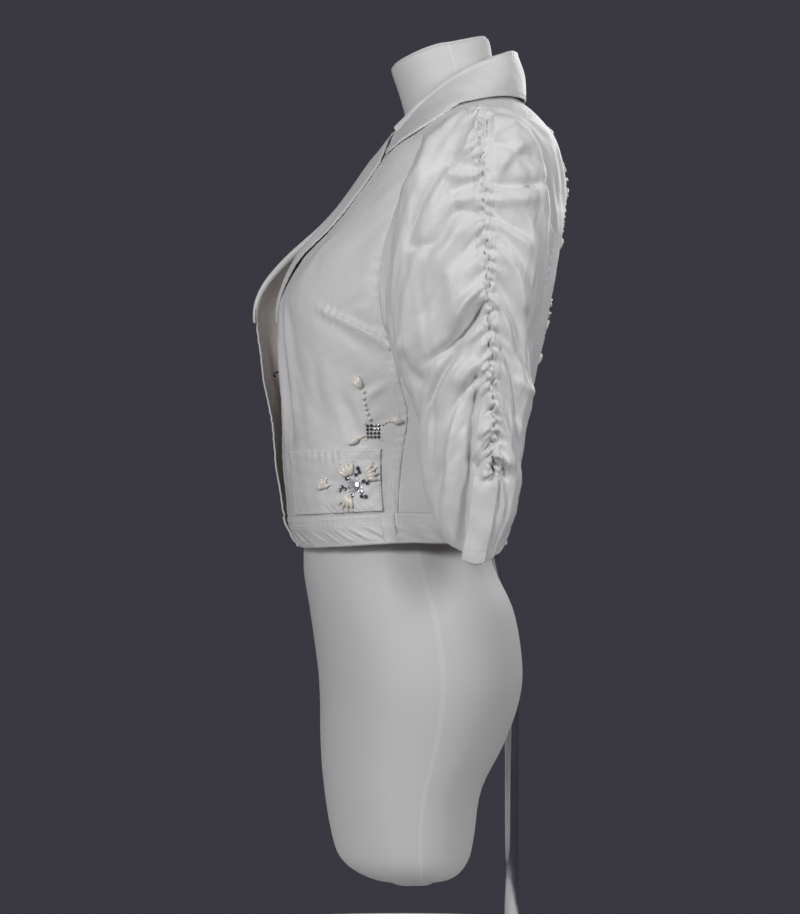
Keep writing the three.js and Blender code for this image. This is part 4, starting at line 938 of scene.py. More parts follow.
def lapel(side, seed):
    """Half circle of the roll, then straight out to the reach, dropping by `fall` rows on the way."""
    level = (LAPEL_BREAK + (LAPEL_TOP - LAPEL_BREAK) * edge_stops(86, 2.5, 270))[:, None]
    row = read(LAPEL, level)
    flat_t = edge_stops(34, 2.5, 60)[None, 3:]
    flat_t = (flat_t - flat_t[:, :1]) / (1 - flat_t[:, :1])
    angle = np.linspace(-np.pi / 2, np.pi / 2, 13)[None, :-1]
    along = np.concatenate([-row["radius"] * np.cos(angle) - 0.25, row["reach"] * flat_t], 1)
    raise_turn = -CAD_CLOTH + row["radius"] * (1 + np.sin(angle))
    lift = row["lift"] * np.sin(np.pi * np.minimum(1, flat_t * 0.8))
    slit = LAPEL_SLIT * np.exp(-((level - LAPEL_SLIT_LEVEL) / 0.7)**2)
    settled = smooth(flat_t * 1.15)
    flat = (-CAD_CLOTH + 2 * row["radius"] + lift) * (1 - settled) + (LAPEL_LOW + slit) * settled
    height = np.concatenate([raise_turn, flat], 1)
    drop = np.concatenate([np.zeros_like(raise_turn), row["fall"] * flat_t], 1)
    to_edge = np.concatenate([np.full_like(raise_turn, 99), row["reach"] * (1 - flat_t)], 1)
    at_level = level - drop
    down = np.broadcast_to(level * LEVEL_MM, along.shape)
    wide = smooth((row["reach"] - 6) / 20)
    height = height + 0.8 * crumple(along, down, 85, seed) * wide * smooth(along / 10) * smooth(to_edge / 10)
    height += pucker(to_edge, down, 9, 10, 0.35, seed) * wide + groove(to_edge, LAPEL_LINE, 0.4) * wide
    height += rolled(to_edge, 1.0) + rolled((level - LAPEL_BREAK) * LEVEL_MM, 1.0)
    height += rolled((LAPEL_TOP - level) * 30, 1.0)
    points = beside_body(side * edge_turn(at_level), at_level, side * along, height)
    cloth(hand(side) + "_lapel_cloth", points, hand(side) + "_lapel", 1.9, (0.09, 0.3), 0.62, in_body)
    rows = np.arange(18.0, points.shape[0] - 4.0)
    found = sew_beside(points, to_edge, LAPEL_LINE, rows, in_body, far=True)
    columns = np.arange(float(found[-5]) - 26, float(found[-5]))
    sew(points, np.full(len(columns), points.shape[0] - 6.0), columns, in_body)


for side, seed in ((1, 61), (-1, 67)):
    lapel(side, seed)

# %% Collar surface
COLLAR = table("at fold_x fold_y fold_z edge_turn edge_level edge_lift", [
    (0, 0, 120, 1007, 180, 13.9, 3.6), (0.3, 46, 106, 999, 130, 13.8, 3.6),
    (0.6, 62, 56, 976, 93, 13.2, 2.9), (0.8, 53, 14, 943.5, 62, 12.1, 2.9),
    (0.9, 43, 2.5, 931.5, 48, 11.45, 3.4), (1, 33, -8, 922, 33, 10.95, 4.2)])
COLLAR_SIDE, COLLAR_END_LEVEL, COLLAR_RADIUS, COLLAR_LIFT = 0.6, 13, 4.4, 4
COLLAR_CLEAR, COLLAR_SET_IN, STAND_END, FOLD_END = 2.2, 6, 0.25, 0.5


def collar_seam(along):
    """The neck seam round to the side, then the neckline down to the lapel."""
    to_side = np.minimum(along / COLLAR_SIDE, 1)
    turn = 180 + (edge_turn(np.array(float(NECK_SEAM))) - 180) * to_side
    behind = beside_body(turn, np.full_like(along, NECK_SEAM), 0, np.full_like(along, -CAD_CLOTH))
    behind[..., 2] += COLLAR_CLEAR
    past = np.maximum(0, (along - COLLAR_SIDE) / (1 - COLLAR_SIDE))
    level = NECK_SEAM + (COLLAR_END_LEVEL - NECK_SEAM) * past
    before = beside_body(edge_turn(level), level, -COLLAR_SET_IN * smooth(past * 4),
                         np.full_like(along, -CAD_CLOTH))
    before[..., 2] += COLLAR_CLEAR * smooth(1.4 * (1 - past))
    return np.where((along <= COLLAR_SIDE)[..., None], behind, before)


def collar_point(station, across):
    """Straight stand up to the fold, half circle over it, then the fall with a lift of sine shape."""
    along = np.abs(station)
    row = read(COLLAR, along)
    seam = collar_seam(along)
    up = np.stack([row["fold_x"], row["fold_y"], row["fold_z"]], -1) - seam
    tall = length(up)
    up /= tall[..., None]
    stand = np.maximum(0, tall - COLLAR_RADIUS)
    edge = beside_body(row["edge_turn"], row["edge_level"], 0, row["edge_lift"])
    out = edge - seam
    out -= up * np.sum(out * up, -1)[..., None]
    out /= length(out)[..., None]
    angle = np.pi * np.clip((across - STAND_END) / (FOLD_END - STAND_END), 0, 1)
    point = seam + up * (stand * np.minimum(1, across / STAND_END) + COLLAR_RADIUS * np.sin(angle))[..., None]
    point += out * (COLLAR_RADIUS * (1 - np.cos(angle)))[..., None]
    t = np.clip((across - FOLD_END) / (1 - FOLD_END), 0, 1)[..., None]
    point += t * (edge - point) + out * COLLAR_LIFT * np.sin(np.pi * t)
    point[..., 0] *= np.where(station < 0, -1, 1)
    return point


# %% Collar
COLLAR_LINE = 4


def collar():
    """The collar's surface moved along its normal by waves, puckers, a stitched line and turned edges."""
    station = (2 * edge_stops(156, 2.5, 560) - 1)[None, :]
    across = np.concatenate([np.linspace(0, 0.26, 12), np.linspace(0.28, 0.52, 13),
                             0.52 + 0.48 * edge_stops(30, 2.5, 50)[4:]])[:, None]
    station, across = np.broadcast_arrays(station, across)
    base = collar_point(station, across)
    down, along = run(base, 0), run(base, 1)
    to_edge, to_end = down[-1:] - down, np.minimum(along, along[:, -1:] - along)
    held_in = np.clip(station, -0.985, 0.985), np.clip(across, 0.02, 0.98)
    normal = normal_at(collar_point, *held_in, 0.006, 0.012)
    normal *= np.sign(np.sum(normal[-5] * (base[-5] - [0, 60, 800]), -1).mean())
    fall = smooth((across - 0.5) / 0.12)
    height = (0.8 * crumple(along, down, 90, 71) * smooth((across - 0.3) / 0.2)
              + 0.2 * crumple(along, down, 26, 72))
    height += pucker(to_edge, along, 8, 10, 0.4, 73) * fall + groove(to_edge, COLLAR_LINE, 0.4) * fall
    height += rolled(to_edge, 1.1) + rolled(to_end, 1.1) + groove(to_end, COLLAR_LINE, 0.4) * fall
    points = base + normal * height[..., None]
    cloth("collar_cloth", points, "collar", 2.1, (0.56, 0.1), 0.9, lambda p: p - normal[:-1, :-1],
          painted_inside=False)
    columns = np.arange(6.0, points.shape[1] - 6.0)
    sew_beside(points, to_edge, COLLAR_LINE, columns, lambda p: p * 0 + [0, 60, 850],
               over_columns=True, far=True)


collar()
sewing_object("lapel_and_collar_topstitching")

# %% [markdown]
# ## Sleeves
# The sleeves are full and come to the elbow. They are drawn up along a narrow channel down the outer
# centre line, so short sharp gathers cross it and long folds run out from it, level near the shoulder and
# falling like chevrons below. The sleeve's rings are measured like the body's, and the gathers are a
# wave along the line that dies away with the distance from it.

# %% Sleeve rings
SLEEVE = table("at out_x out_y out_z in_x in_y in_z fr_x fr_y fr_z bk_x bk_y bk_z", [
    (2, 193, 66, 921, 168, 30, 643, 182, -17, 778, 188, 134, 800),
    (3, 216, 66, 914, 173, 38, 636, 197, -21, 760, 203, 139, 790),
    (4, 237, 68, 884, 175, 46, 628, 206, -19, 735, 212, 138, 770),
    (5, 248, 70, 838, 176, 53, 618, 210, -16, 706, 215, 133, 735),
    (6, 253, 72, 787, 176.5, 58, 606, 212, -9, 680, 216, 127, 704),
    (7, 254, 74, 737, 177, 60, 591, 213, 1, 652, 216, 123, 672),
    (8, 253, 76, 687, 177, 60, 574, 213, 9, 622, 215, 119, 640),
    (9, 251, 78, 637, 177, 58, 555, 212, 11, 592, 214, 114, 605),
    (10, 249, 80, 592, 176, 58, 535, 211, 13, 562, 212, 108, 570),
    (11, 247, 79, 550, 175, 58, 516, 210, 18, 532, 210, 103, 538),
    (12, 244, 73, 506, 174, 60, 499, 208, 27, 506, 208, 99, 508),
    (13, 240, 63, 460, 174, 64, 486, 206, 42, 482, 206, 96, 485),
])
SLEEVE_END, ARMHOLE_RISE, ARMHOLE_INSET, ARMHOLE_LEAVE = 13, 5, 0.95, 3
ARMHOLE_Y, ARMHOLE_Z = 60, 780


def armhole_ring(degrees, lift):
    """The armhole on the body, lifted along its normal and drawn in a little towards its middle."""
    at = read(ARMHOLE, degrees)
    point = body_point(at["turn"], at["level"])
    point += lift * normal_at(body_point, at["turn"], at["level"], 0.3, 0.01)
    inward = [0, ARMHOLE_Y, ARMHOLE_Z] - point * [0, 1, 1]
    return point + ARMHOLE_INSET * inward / length(inward)[:, None]


def sleeve_ring(row, degrees):
    """Middle + |cos|^0.9 (out or under - middle) + |sin|^0.9 (front or back - middle)."""
    ends = {e: np.array([SLEEVE[f"{e}_{axis}"][row] for axis in "xyz"]) for e in ("out", "in", "fr", "bk")}
    middle = sum(ends.values()) / 4
    c, s = np.cos(np.radians(degrees))[:, None], np.sin(np.radians(degrees))[:, None]
    return (middle + np.abs(c)**0.9 * (np.where(c > 0, ends["out"], ends["in"]) - middle)
            + np.abs(s)**0.9 * (np.where(s > 0, ends["fr"], ends["bk"]) - middle))


RING_STEPS = 1440
ring_degrees = np.linspace(0, 360, RING_STEPS + 1)
rings = np.stack([armhole_ring(ring_degrees, -CAD_CLOTH), armhole_ring(ring_degrees, ARMHOLE_RISE)]
                 + [sleeve_ring(row, ring_degrees) for row in range(len(SLEEVE["at"]))])


def ring_at(k, degrees):
    """A point of ring k, read from the rings' fine steps in degrees."""
    place = (degrees % 360) / 360 * RING_STEPS
    low = np.minimum(place.astype(int), RING_STEPS - 1)
    part = (place - low)[..., None]
    return rings[k, low] * (1 - part) + rings[k, low + 1] * part


def sleeve_base(degrees, at):
    """Between rings b and c, the Catmull-Rom cubic through the four nearest rings."""
    k = np.clip(np.floor(at).astype(int), 0, SLEEVE_END - 1)
    t = (at - k)[..., None]
    b, c = ring_at(k, degrees), ring_at(k + 1, degrees)
    d = ring_at(np.minimum(k + 2, SLEEVE_END), degrees)
    leave = c - ARMHOLE_LEAVE * (b - ring_at(np.zeros_like(k), degrees))
    a = np.where((k == 1)[..., None], leave, ring_at(np.maximum(k - 1, 0), degrees))
    curve = ((-0.5 * t + t**2 - 0.5 * t**3) * a + (1 - 2.5 * t**2 + 1.5 * t**3) * b
             + (0.5 * t + 2 * t**2 - 1.5 * t**3) * c + (-0.5 * t**2 + 0.5 * t**3) * d)
    return np.where((k == 0)[..., None], b * (1 - t) + c * t, curve)


def sleeve_normal(degrees, at):
    """The sleeve's outward normal, read just inside its two ends."""
    return normal_at(sleeve_base, degrees, np.clip(at, 0.02, SLEEVE_END - 0.02), 0.5, 0.02)


# %% Folds and gathers of the sleeves
FRONT_SLEEVE_FOLDS = table("at reach fall width depth", [
    (2.6, 60, 1.6, 0.32, -3), (3.5, 80, 1.4, 0.3, -4), (4.2, 66, 0.5, 0.24, 4), (4.9, 88, 1.3, 0.3, -4),
    (5.5, 60, 0.8, 0.24, 4), (6.1, 76, 1.6, 0.26, -4), (6.7, 74, 1.9, 0.26, 4.5), (7.3, 96, 1.5, 0.3, -7),
    (7.9, 70, 2.2, 0.26, 4), (8.5, 62, 2.4, 0.28, -5), (9.1, 56, 2.6, 0.26, 4), (9.8, 44, 2.6, 0.28, -6),
    (10.5, 34, 2.2, 0.26, 4)])
BACK_SLEEVE_FOLDS = table("at reach fall width depth", [
    (2.8, 58, 0.6, 0.26, -4), (3.5, 74, -0.5, 0.28, 5), (4.1, 66, 0.4, 0.24, -4), (4.8, 80, 1, 0.28, 4),
    (5.5, 60, 1.3, 0.26, -4), (6.2, 76, 1.8, 0.28, 4), (6.9, 66, 2, 0.28, -5), (7.6, 58, 2.4, 0.26, 4),
    (8.3, 56, 2.7, 0.28, -5), (9, 50, 2.6, 0.26, 4), (9.8, 46, 2.4, 0.28, -5), (10.5, 40, 1.9, 0.24, 3)])
OUTER_FOLDS = table("y z y2 z2 width depth bow", [
    (76, 914, 73, 880, 2.4, -4, 0), (67, 912, 63, 880, 3.2, 3, 0), (84, 910, 81, 886, 3.2, 2.6, 0),
    (85, 850, 119, 885, 8, 4, -4), (79, 839, 137, 843, 3.6, -6, 3), (82, 823, 128, 830, 7, 3, 3),
    (78, 879, 102, 874, 3, -3.6, -3), (84, 891, 109, 903, 5.5, 3, -2), (96, 868, 132, 862, 5, -2.6, -3),
    (75, 819, 116, 788, 5.5, -4.6, 4), (80, 803, 118, 770, 6, 3, -4), (80, 784, 97, 765, 3, -3, -2),
    (82, 779, 110, 712, 6.5, 4, -7), (79, 749, 104, 680, 4.4, -4.6, -6), (78, 727, 98, 668, 4.6, 3.4, -5),
    (83, 688, 107, 568, 4.4, -6.5, -5), (79, 682, 99, 578, 5.5, 4.4, -8), (101, 668, 116, 598, 8, 3, -3),
    (75, 642, 97, 596, 3.6, -4.5, -6), (78, 625, 94, 584, 3.8, 3.2, -4), (101, 646, 122, 632, 5, 2.4, 3),
    (124, 752, 119, 640, 6, -3, 0), (110, 716, 124, 672, 6, -2.4, -4), (106, 604, 112, 552, 5, 2.6, -3),
    (68, 573, 90, 585, 2.8, -3.6, -2), (75, 561, 97, 546, 2.8, -4.4, 2), (78, 571, 98, 557, 3.6, 4.6, -2),
    (64, 556, 81, 546, 3.6, 4, 2), (66, 586, 84, 596, 3.4, 3.4, -3), (60, 566, 72, 548, 3, -3, 2),
    (33, 863, 69, 857, 3.2, -4.4, 2), (44, 871, 68, 875, 4.6, 3.2, 0), (33, 850, 66, 846, 5, 3, 2),
    (68, 902, 52, 871, 3.8, 3, 2), (37, 829, 69, 842, 3.6, -4.6, -3), (39, 813, 71, 808, 2.8, -4.6, 0),
    (43, 821, 68, 826, 4, 3, 0), (42, 815, 27, 784, 3.6, -3.6, 2), (-6, 777, 34, 786, 5, -4.4, 3),
    (-5, 781, 38, 862, 4.6, -3.2, -8), (18, 908, -12, 832, 6, 2.6, -10), (66, 768, 34, 716, 12, 3.4, 6),
    (52, 800, 12, 752, 9, 2.4, 5), (30, 748, 2, 702, 8, -2, -4), (68, 790, 48, 762, 3.4, -3, 3),
    (69, 718, 12, 662, 4.2, -8.5, -5), (68, 735, 38, 697, 6, 5.6, 4), (39, 677, 69, 697, 4.4, 3.6, 2),
    (-9, 672, 12, 638, 4.6, -4.4, 3), (-13, 688, 4, 650, 6.5, 3, 3), (40, 671, 14, 612, 4.4, -5, 4),
    (48, 666, 25, 612, 7, 3.8, 5), (67, 651, 38, 602, 3.8, -5.5, 6), (66, 662, 44, 636, 5.5, 3.8, 4),
    (62, 634, 57, 582, 5, -6, 2), (58, 596, 43, 430, 4.6, -10, 2), (46, 626, 34, 450, 7.5, 5, 4),
    (69, 614, 61, 566, 3.8, 4, 2), (14, 602, 27, 488, 11, 3, 6), (30, 560, 36, 486, 5, -2, 3),
    (104, 560, 98, 490, 6, 2.6, -3),
])


def crisp(rows, y, z):
    """Folds of the side view, in mm: 1 / (1 + x^2)^1.5 across each, sharp at the crest with a wide foot."""
    total = np.zeros(np.broadcast(y, z).shape)
    for start_y, start_z, end_y, end_z, width, depth, bow in zip(*rows.values()):
        dy, dz = end_y - start_y, end_z - start_z
        span = np.hypot(dy, dz)
        t = ((y - start_y) * dy + (z - start_z) * dz) / span**2
        inside = np.clip(t, 0, 1)
        across = ((y - start_y) * dz - (z - start_z) * dy) / span - bow * 4 * inside * (1 - inside)
        x = across / (width * (0.75 + 0.6 * inside))
        x = x * (1 + 0.35 * np.tanh(x))
        total += depth * (1 + x**2)**-1.5 * smooth((t + 0.1) / 0.3) * smooth((1.2 - t) / 0.55)
    return total


INNER_FOLDS = table("u v u2 v2 width depth bow", [
    (128, 5.4, 108, 7.2, 8, -3.2, 5), (140, 8, 118, 10.4, 9, 3, 6), (150, 3.2, 126, 5, 8, -3, 4),
    (158, 9.4, 140, 11.8, 9, -3, 5), (116, 2.6, 100, 4.2, 7, 2.6, 4), (132, 10.6, 112, 12.4, 7, -2.6, 4),
    (262, 4.4, 250, 6.8, 9, -3.2, -5), (246, 7, 262, 9.8, 9, 3, 5), (228, 3.4, 244, 5.4, 8, -3, -4),
    (216, 8.8, 236, 11.4, 9, -3, -5), (204, 6, 222, 8, 7, 2.4, -3), (238, 10.8, 254, 12.5, 7, 2.2, -3),
])
CHANNEL_END, LINE_STEPS = 11.1, 521
SLEEVE_DEGREE_MM, SLEEVE_ROW_MM = 2.0, 40
line_at = np.linspace(0, SLEEVE_END, LINE_STEPS)
line_steps = length(np.diff(sleeve_base(np.zeros(LINE_STEPS), line_at), axis=0))
line_run = np.concatenate([[0], np.cumsum(line_steps)])
DRAWN_LENGTH = float(np.interp(CHANNEL_END, line_at, line_run))
step = np.full(LINE_STEPS, 2.0)
line_degree_mm = length(sleeve_base(step, line_at) - sleeve_base(-step, line_at)) / 4
print("channel length", round(DRAWN_LENGTH), "mm")


def radiating(degrees, at):
    """Long folds from the channel: each table row is a gaussian ridge whose line falls away from it."""
    front = degrees <= 180
    away = np.where(front, degrees, 360 - degrees)
    total = np.zeros(np.broadcast(degrees, at).shape)
    for rows, here in ((FRONT_SLEEVE_FOLDS, front), (BACK_SLEEVE_FOLDS, ~front)):
        for start, reach, fall, width, depth in zip(*rows.values()):
            t = away / reach
            x = (at - start - fall * t**0.85) / (width * (0.55 + 0.75 * np.clip(t, 0, 1)))
            profile = np.exp(-x**2) - 0.25 * np.exp(-(np.abs(x) - 2)**2)
            total += here * depth * profile * smooth(t * 3 + 0.25) * smooth((1 - t) * 1.6) * (t < 1)
    return total


def gathers(degrees, at):
    """Sharp uneven valleys 2 |sin|^0.8 - 1 across the line, and a sunk seam that wanders between them."""
    front = degrees <= 180
    side = np.where(front, 1.0, -1.0)
    s = np.interp(at, line_at, line_run)
    signed = side * np.where(front, degrees, 360 - degrees) * np.interp(at, line_at, line_degree_mm)
    signed = signed - 1.5 * np.sin(2 * np.pi * s / 23) - 0.9 * np.sin(2 * np.pi * s / 13.3 + 1)
    off = np.abs(signed)
    side = np.tanh(signed)
    down = s / DRAWN_LENGTH
    drawn = smooth((s - 22) / 30) * smooth((DRAWN_LENGTH + 8 - s) / 14)
    q = s - (0.05 + 0.8 * down) * off + 3 * np.sin(off / 13 + side)
    phase = q / 14.5 + 0.42 * np.sin(q / 29 + 1.3 * side) + 0.3 * np.sin(q / 11.3 + 2 * side)
    reach = 11 + 8 * np.sin(q / 19 + 1.7 * side) + 5 * down
    valley = 2 * np.abs(np.sin(np.pi * phase))**0.8 - 1
    knot = 1 + 0.9 * np.exp(-((s - DRAWN_LENGTH + 14) / 16)**2)
    crossing = 2.3 * knot * valley * np.exp(-np.maximum(off - 3, 0) / reach)
    small = s / 7.4 + 0.5 * np.sin(s / 17 + side) + 0.3 * side
    braid = 0.9 * knot * (2 * np.abs(np.sin(np.pi * small))**0.8 - 1) * np.exp(-(off / 4.6)**2)
    seam = -1.3 * np.exp(-(off / 1.3)**2) + 1.0 * np.exp(-((off - 3.8) / 2.4)**2)
    return (crossing + braid + seam) * drawn


def sleeve_height(degrees, at, seed):
    """All of the sleeve's relief: placed folds, gathers, cap fullness and crumpling."""
    degrees = degrees % 360
    arc, down = degrees * SLEEVE_DEGREE_MM, at * SLEEVE_ROW_MM
    fade = smooth((at - 0.9) / 0.8)
    from_line = np.minimum(degrees, 360 - degrees)
    tab = 1 - 0.8 * smooth((at - 10.8) / 0.4) * smooth(1.4 - from_line / 9)
    base = sleeve_base(degrees, at)
    outer = 1.55 * crisp(OUTER_FOLDS, base[..., 1], base[..., 2]) * smooth((112 - from_line) / 30)
    total = (outer + 0.45 * radiating(degrees, at)) * fade * tab
    total += fold_sum(INNER_FOLDS, degrees, at, SLEEVE_DEGREE_MM, SLEEVE_ROW_MM) * fade + gathers(degrees, at)
    cap = np.exp(-((at - 0.9) / 0.7)**2) * smooth((70 - from_line) / 25)
    total += 1.1 * cap * np.sin(2 * np.pi * (degrees / 8 + 0.4 * np.sin(degrees / 13)))
    total += (1.1 * crumple(arc, down, 95, seed) + 0.55 * crumple(arc, down, 38, seed + 1)) * fade * tab
    return total + 0.2 * crumple(arc, down, 15, seed + 2) * fade


# %% Sleeve pieces
CHANNEL_HALF, HEM_LINE, TUCK = 11, 12, 1.4


def sleeve_points(side, degrees, at, seed, extra=0):
    """Sleeve base plus the relief along the normal, mirrored for the wearer's right arm."""
    height = sleeve_height(degrees, at, seed) + extra
    points = sleeve_base(degrees, at) + sleeve_normal(degrees, at) * height[..., None]
    return points * [side, 1, 1]


def in_sleeve(points):
    """A line down the middle of each sleeve."""
    side = np.sign(points[..., :1])
    return points * [0, 0, 1] + np.concatenate([212 * side, 0 * side + 62, 0 * side], -1)


def channel_turn(at):
    """Half the channel's width in degrees of the sleeve's ring."""
    return CHANNEL_HALF / np.interp(np.maximum(at, 1), line_at, line_degree_mm)


sleeve_at = SLEEVE_END * edge_stops(186, 3, 480)[:, None]


def sleeve_half(side, front, seed):
    """One half from the channel to the underarm seam, its columns closest beside the channel."""
    t = np.linspace(0, 1, 80)[None, :]**1.35
    start = channel_turn(sleeve_at) * (1 - TUCK / CHANNEL_HALF)
    degrees = start + (180 - start) * t
    degrees = degrees if front else 360 - degrees
    at = np.broadcast_to(sleeve_at, degrees.shape)
    base = sleeve_base(degrees, at)
    down = run(base, 0)
    to_hem = down[-1:] - down
    extra = groove(to_hem, HEM_LINE, 0.4) + rolled(to_hem, 1.1)
    extra += pucker(to_hem - HEM_LINE, degrees * SLEEVE_DEGREE_MM, 7, 8, 0.4, seed)
    extra -= 0.35 * smooth(1 - run(base, 1) / TUCK)
    points = sleeve_points(side, degrees, at, seed, extra)
    label = hand(side) + ("_sleeve_front" if front else "_sleeve_back")
    cloth(label + "_cloth", points, label, PANEL_THICK, (0.25, 0.55), 0.65, in_sleeve)
    columns = np.arange(2.0, points.shape[1] - 2.0)
    sew_beside(points, to_hem, HEM_LINE, columns, in_sleeve, over_columns=True, far=True)


for side, seed in ((1, 81), (-1, 91)):
    sleeve_half(side, True, seed)
    sleeve_half(side, False, seed)

# %% Ruched channel and vent tab
VENT_WIDE, VENT_TOP, VENT_FOOT, VENT_ACROSS = 30, 11, 12.96, 6
VENT_SIDE_LINE, VENT_HEM_LINE = 6, 11


def channel(side, seed):
    """The strip down the drawn line, in rows close enough for its small crossing gathers."""
    at = SLEEVE_END * edge_stops(400, 2, 480)[:, None]
    degrees = np.linspace(-1, 1, 23)[None, :] * channel_turn(at)
    at = np.broadcast_to(at, degrees.shape)
    down = run(sleeve_base(degrees, at), 0)
    points = sleeve_points(side, degrees, at, seed, rolled(down[-1:] - down, 1.1))
    label = hand(side) + "_sleeve_ruching"
    cloth(label + "_cloth", points, label, PANEL_THICK, (0.03, 0.64), 0.95, in_sleeve)


def vent_tab(side, seed):
    """A hemmed facing beside the slit above the hem, lying on the sleeve with two stitched lines."""
    across_mm = VENT_ACROSS + VENT_WIDE * (edge_stops(26, 2, 30)[None, :] - 0.5)
    at = VENT_TOP + (VENT_FOOT - VENT_TOP) * edge_stops(50, 2, 80)[:, None]
    degrees = across_mm * channel_turn(at) / CHANNEL_HALF
    at = np.broadcast_to(at, degrees.shape)
    base = sleeve_base(degrees, at)
    across, down = run(base, 1), run(base, 0)
    to_side, to_hem = across[:, -1:] - across, down[-1:] - down
    edge = np.minimum(np.minimum(across, to_side), np.minimum(down, to_hem))
    height = 0.6 + 2.2 * smooth(down / 14) + rolled(edge, 1.1)
    height += groove(to_side, VENT_SIDE_LINE, 0.45) + groove(to_hem, VENT_HEM_LINE, 0.45)
    height += 0.7 * crumple(across, down, 40, seed)
    height += 1.2 * np.exp(-((down - 6) / 8)**2) * np.sin(across / 3.2)
    points = (base + sleeve_normal(degrees, at) * height[..., None]) * [side, 1, 1]
    label = hand(side) + "_sleeve_vent_tab"
    cloth(label + "_cloth", points, label, PANEL_THICK, (0.032, 0.09), 0.97, in_sleeve)
    rows, columns = (np.arange(2.0, count - 2.0) for count in points.shape[:2])
    sew_beside(points, to_side, VENT_SIDE_LINE, rows, in_sleeve, far=True)
    sew_beside(points, to_hem, VENT_HEM_LINE, columns, in_sleeve, over_columns=True, far=True)


for side, seed in ((1, 81), (-1, 91)):
    channel(side, seed)
for side, seed in ((1, 101), (-1, 103)):
    vent_tab(side, seed)
sewing_object("sleeve_topstitching")

# %% [markdown]
# ## Beadwork
# Pearls, pearl drops and faceted stones are sewn on in small flowers and sprays. A spray is a table of
# beads in the plane of the cloth, and each bead is then set on the nearest point of the cloth and leant
# to its normal. All the beads of a spray are worked out as arrays and joined in one mesh. On the pockets
# and fronts they are ordinary flowers and strings that follow the photo's layout, colours and sizes, read
# off it. The two down the back are made up, because the photo shows them only edge on.

# %% Shapes of one bead, each about one unit in radius
def turned(radii, heights, sides):
    """Rings of points about the z axis, one for each radius and height, and the quads between them."""
    angle = np.linspace(0, 2 * np.pi, sides, endpoint=False)
    ring = np.stack([np.cos(angle), np.sin(angle), np.zeros(sides)], -1)
    points = np.asarray(radii)[:, None, None] * ring + np.asarray(heights)[:, None, None] * [0, 0, 1]
    return points.reshape(-1, 3), grid_quads(len(radii), sides, wrap=True)


polar = np.linspace(0.02, np.pi - 0.02, 9)
pearl_points, pearl_quads = turned(np.sin(polar), -np.cos(polar), 14)
drop_points, drop_quads = turned(np.sin(polar)**1.25 * (0.92 + 0.28 * np.cos(polar)), -np.cos(polar), 14)
drop_points = drop_points[:, [0, 2, 1]] * [1, 1, -1]
stone_points, stone_quads = turned([0.02, 0.9, 1.0, 0.94, 0.6, 0.02], [-0.3, -0.3, 0.1, 0.35, 0.75, 0.8], 8)
leaf_points, leaf_quads = turned([0.02, 0.85, 1.0, 0.55, 0.02], [-0.3, -0.3, 0.15, 0.7, 0.8], 10)
leaf_points[:, 0] *= 1 - 0.35 * np.abs(leaf_points[:, 1])
PEARL_BEAD, DROP_BEAD, STONE_BEAD, CRYSTAL_BEAD, LEAF_BEAD = range(5)
SHAPES = [(pearl_points, pearl_quads, 0), (drop_points, drop_quads, 0), (stone_points, stone_quads, 1),
          (stone_points, stone_quads, 2), (leaf_points, leaf_quads, 1)]


# %% Sprays of beads in the plane of the cloth, in mm
def bead_ring(kind, count, radius, wide, long, high, start=0, spread=360, at=(0, 0)):
    """Beads on an arc about a point, each pointing outward. Columns: kind, u, v, turn, wide, long, high."""
    whole = spread == 360
    angle = np.radians(start + spread * np.arange(count) / (count if whole else max(count - 1, 1)))
    fixed = np.tile([wide, long, high], (count, 1))
    place = np.column_stack([at[0] + radius * np.sin(angle), at[1] + radius * np.cos(angle)])
    return np.column_stack([np.full(count, kind), place, angle, fixed])


def bead_string(kind, count, start, end, sag, size):
    """Beads evenly along an arc from start to end that sags to the side by `sag`."""
    start, end = np.array(start, float), np.array(end, float)
    t = np.linspace(0, 1, count)[:, None]
    side = np.array([end[1] - start[1], start[0] - end[0]]) / np.hypot(*(end - start))
    place = start + (end - start) * t + side * sag * 4 * t * (1 - t)
    return np.column_stack([np.full(count, kind), place, np.zeros(count), np.full((count, 3), size)])


def one_bead(kind, u, v, turn, wide, long, high):
    """A table of one bead, its turn given in degrees."""
    return np.array([[kind, u, v, np.radians(turn), wide, long, high]], float)


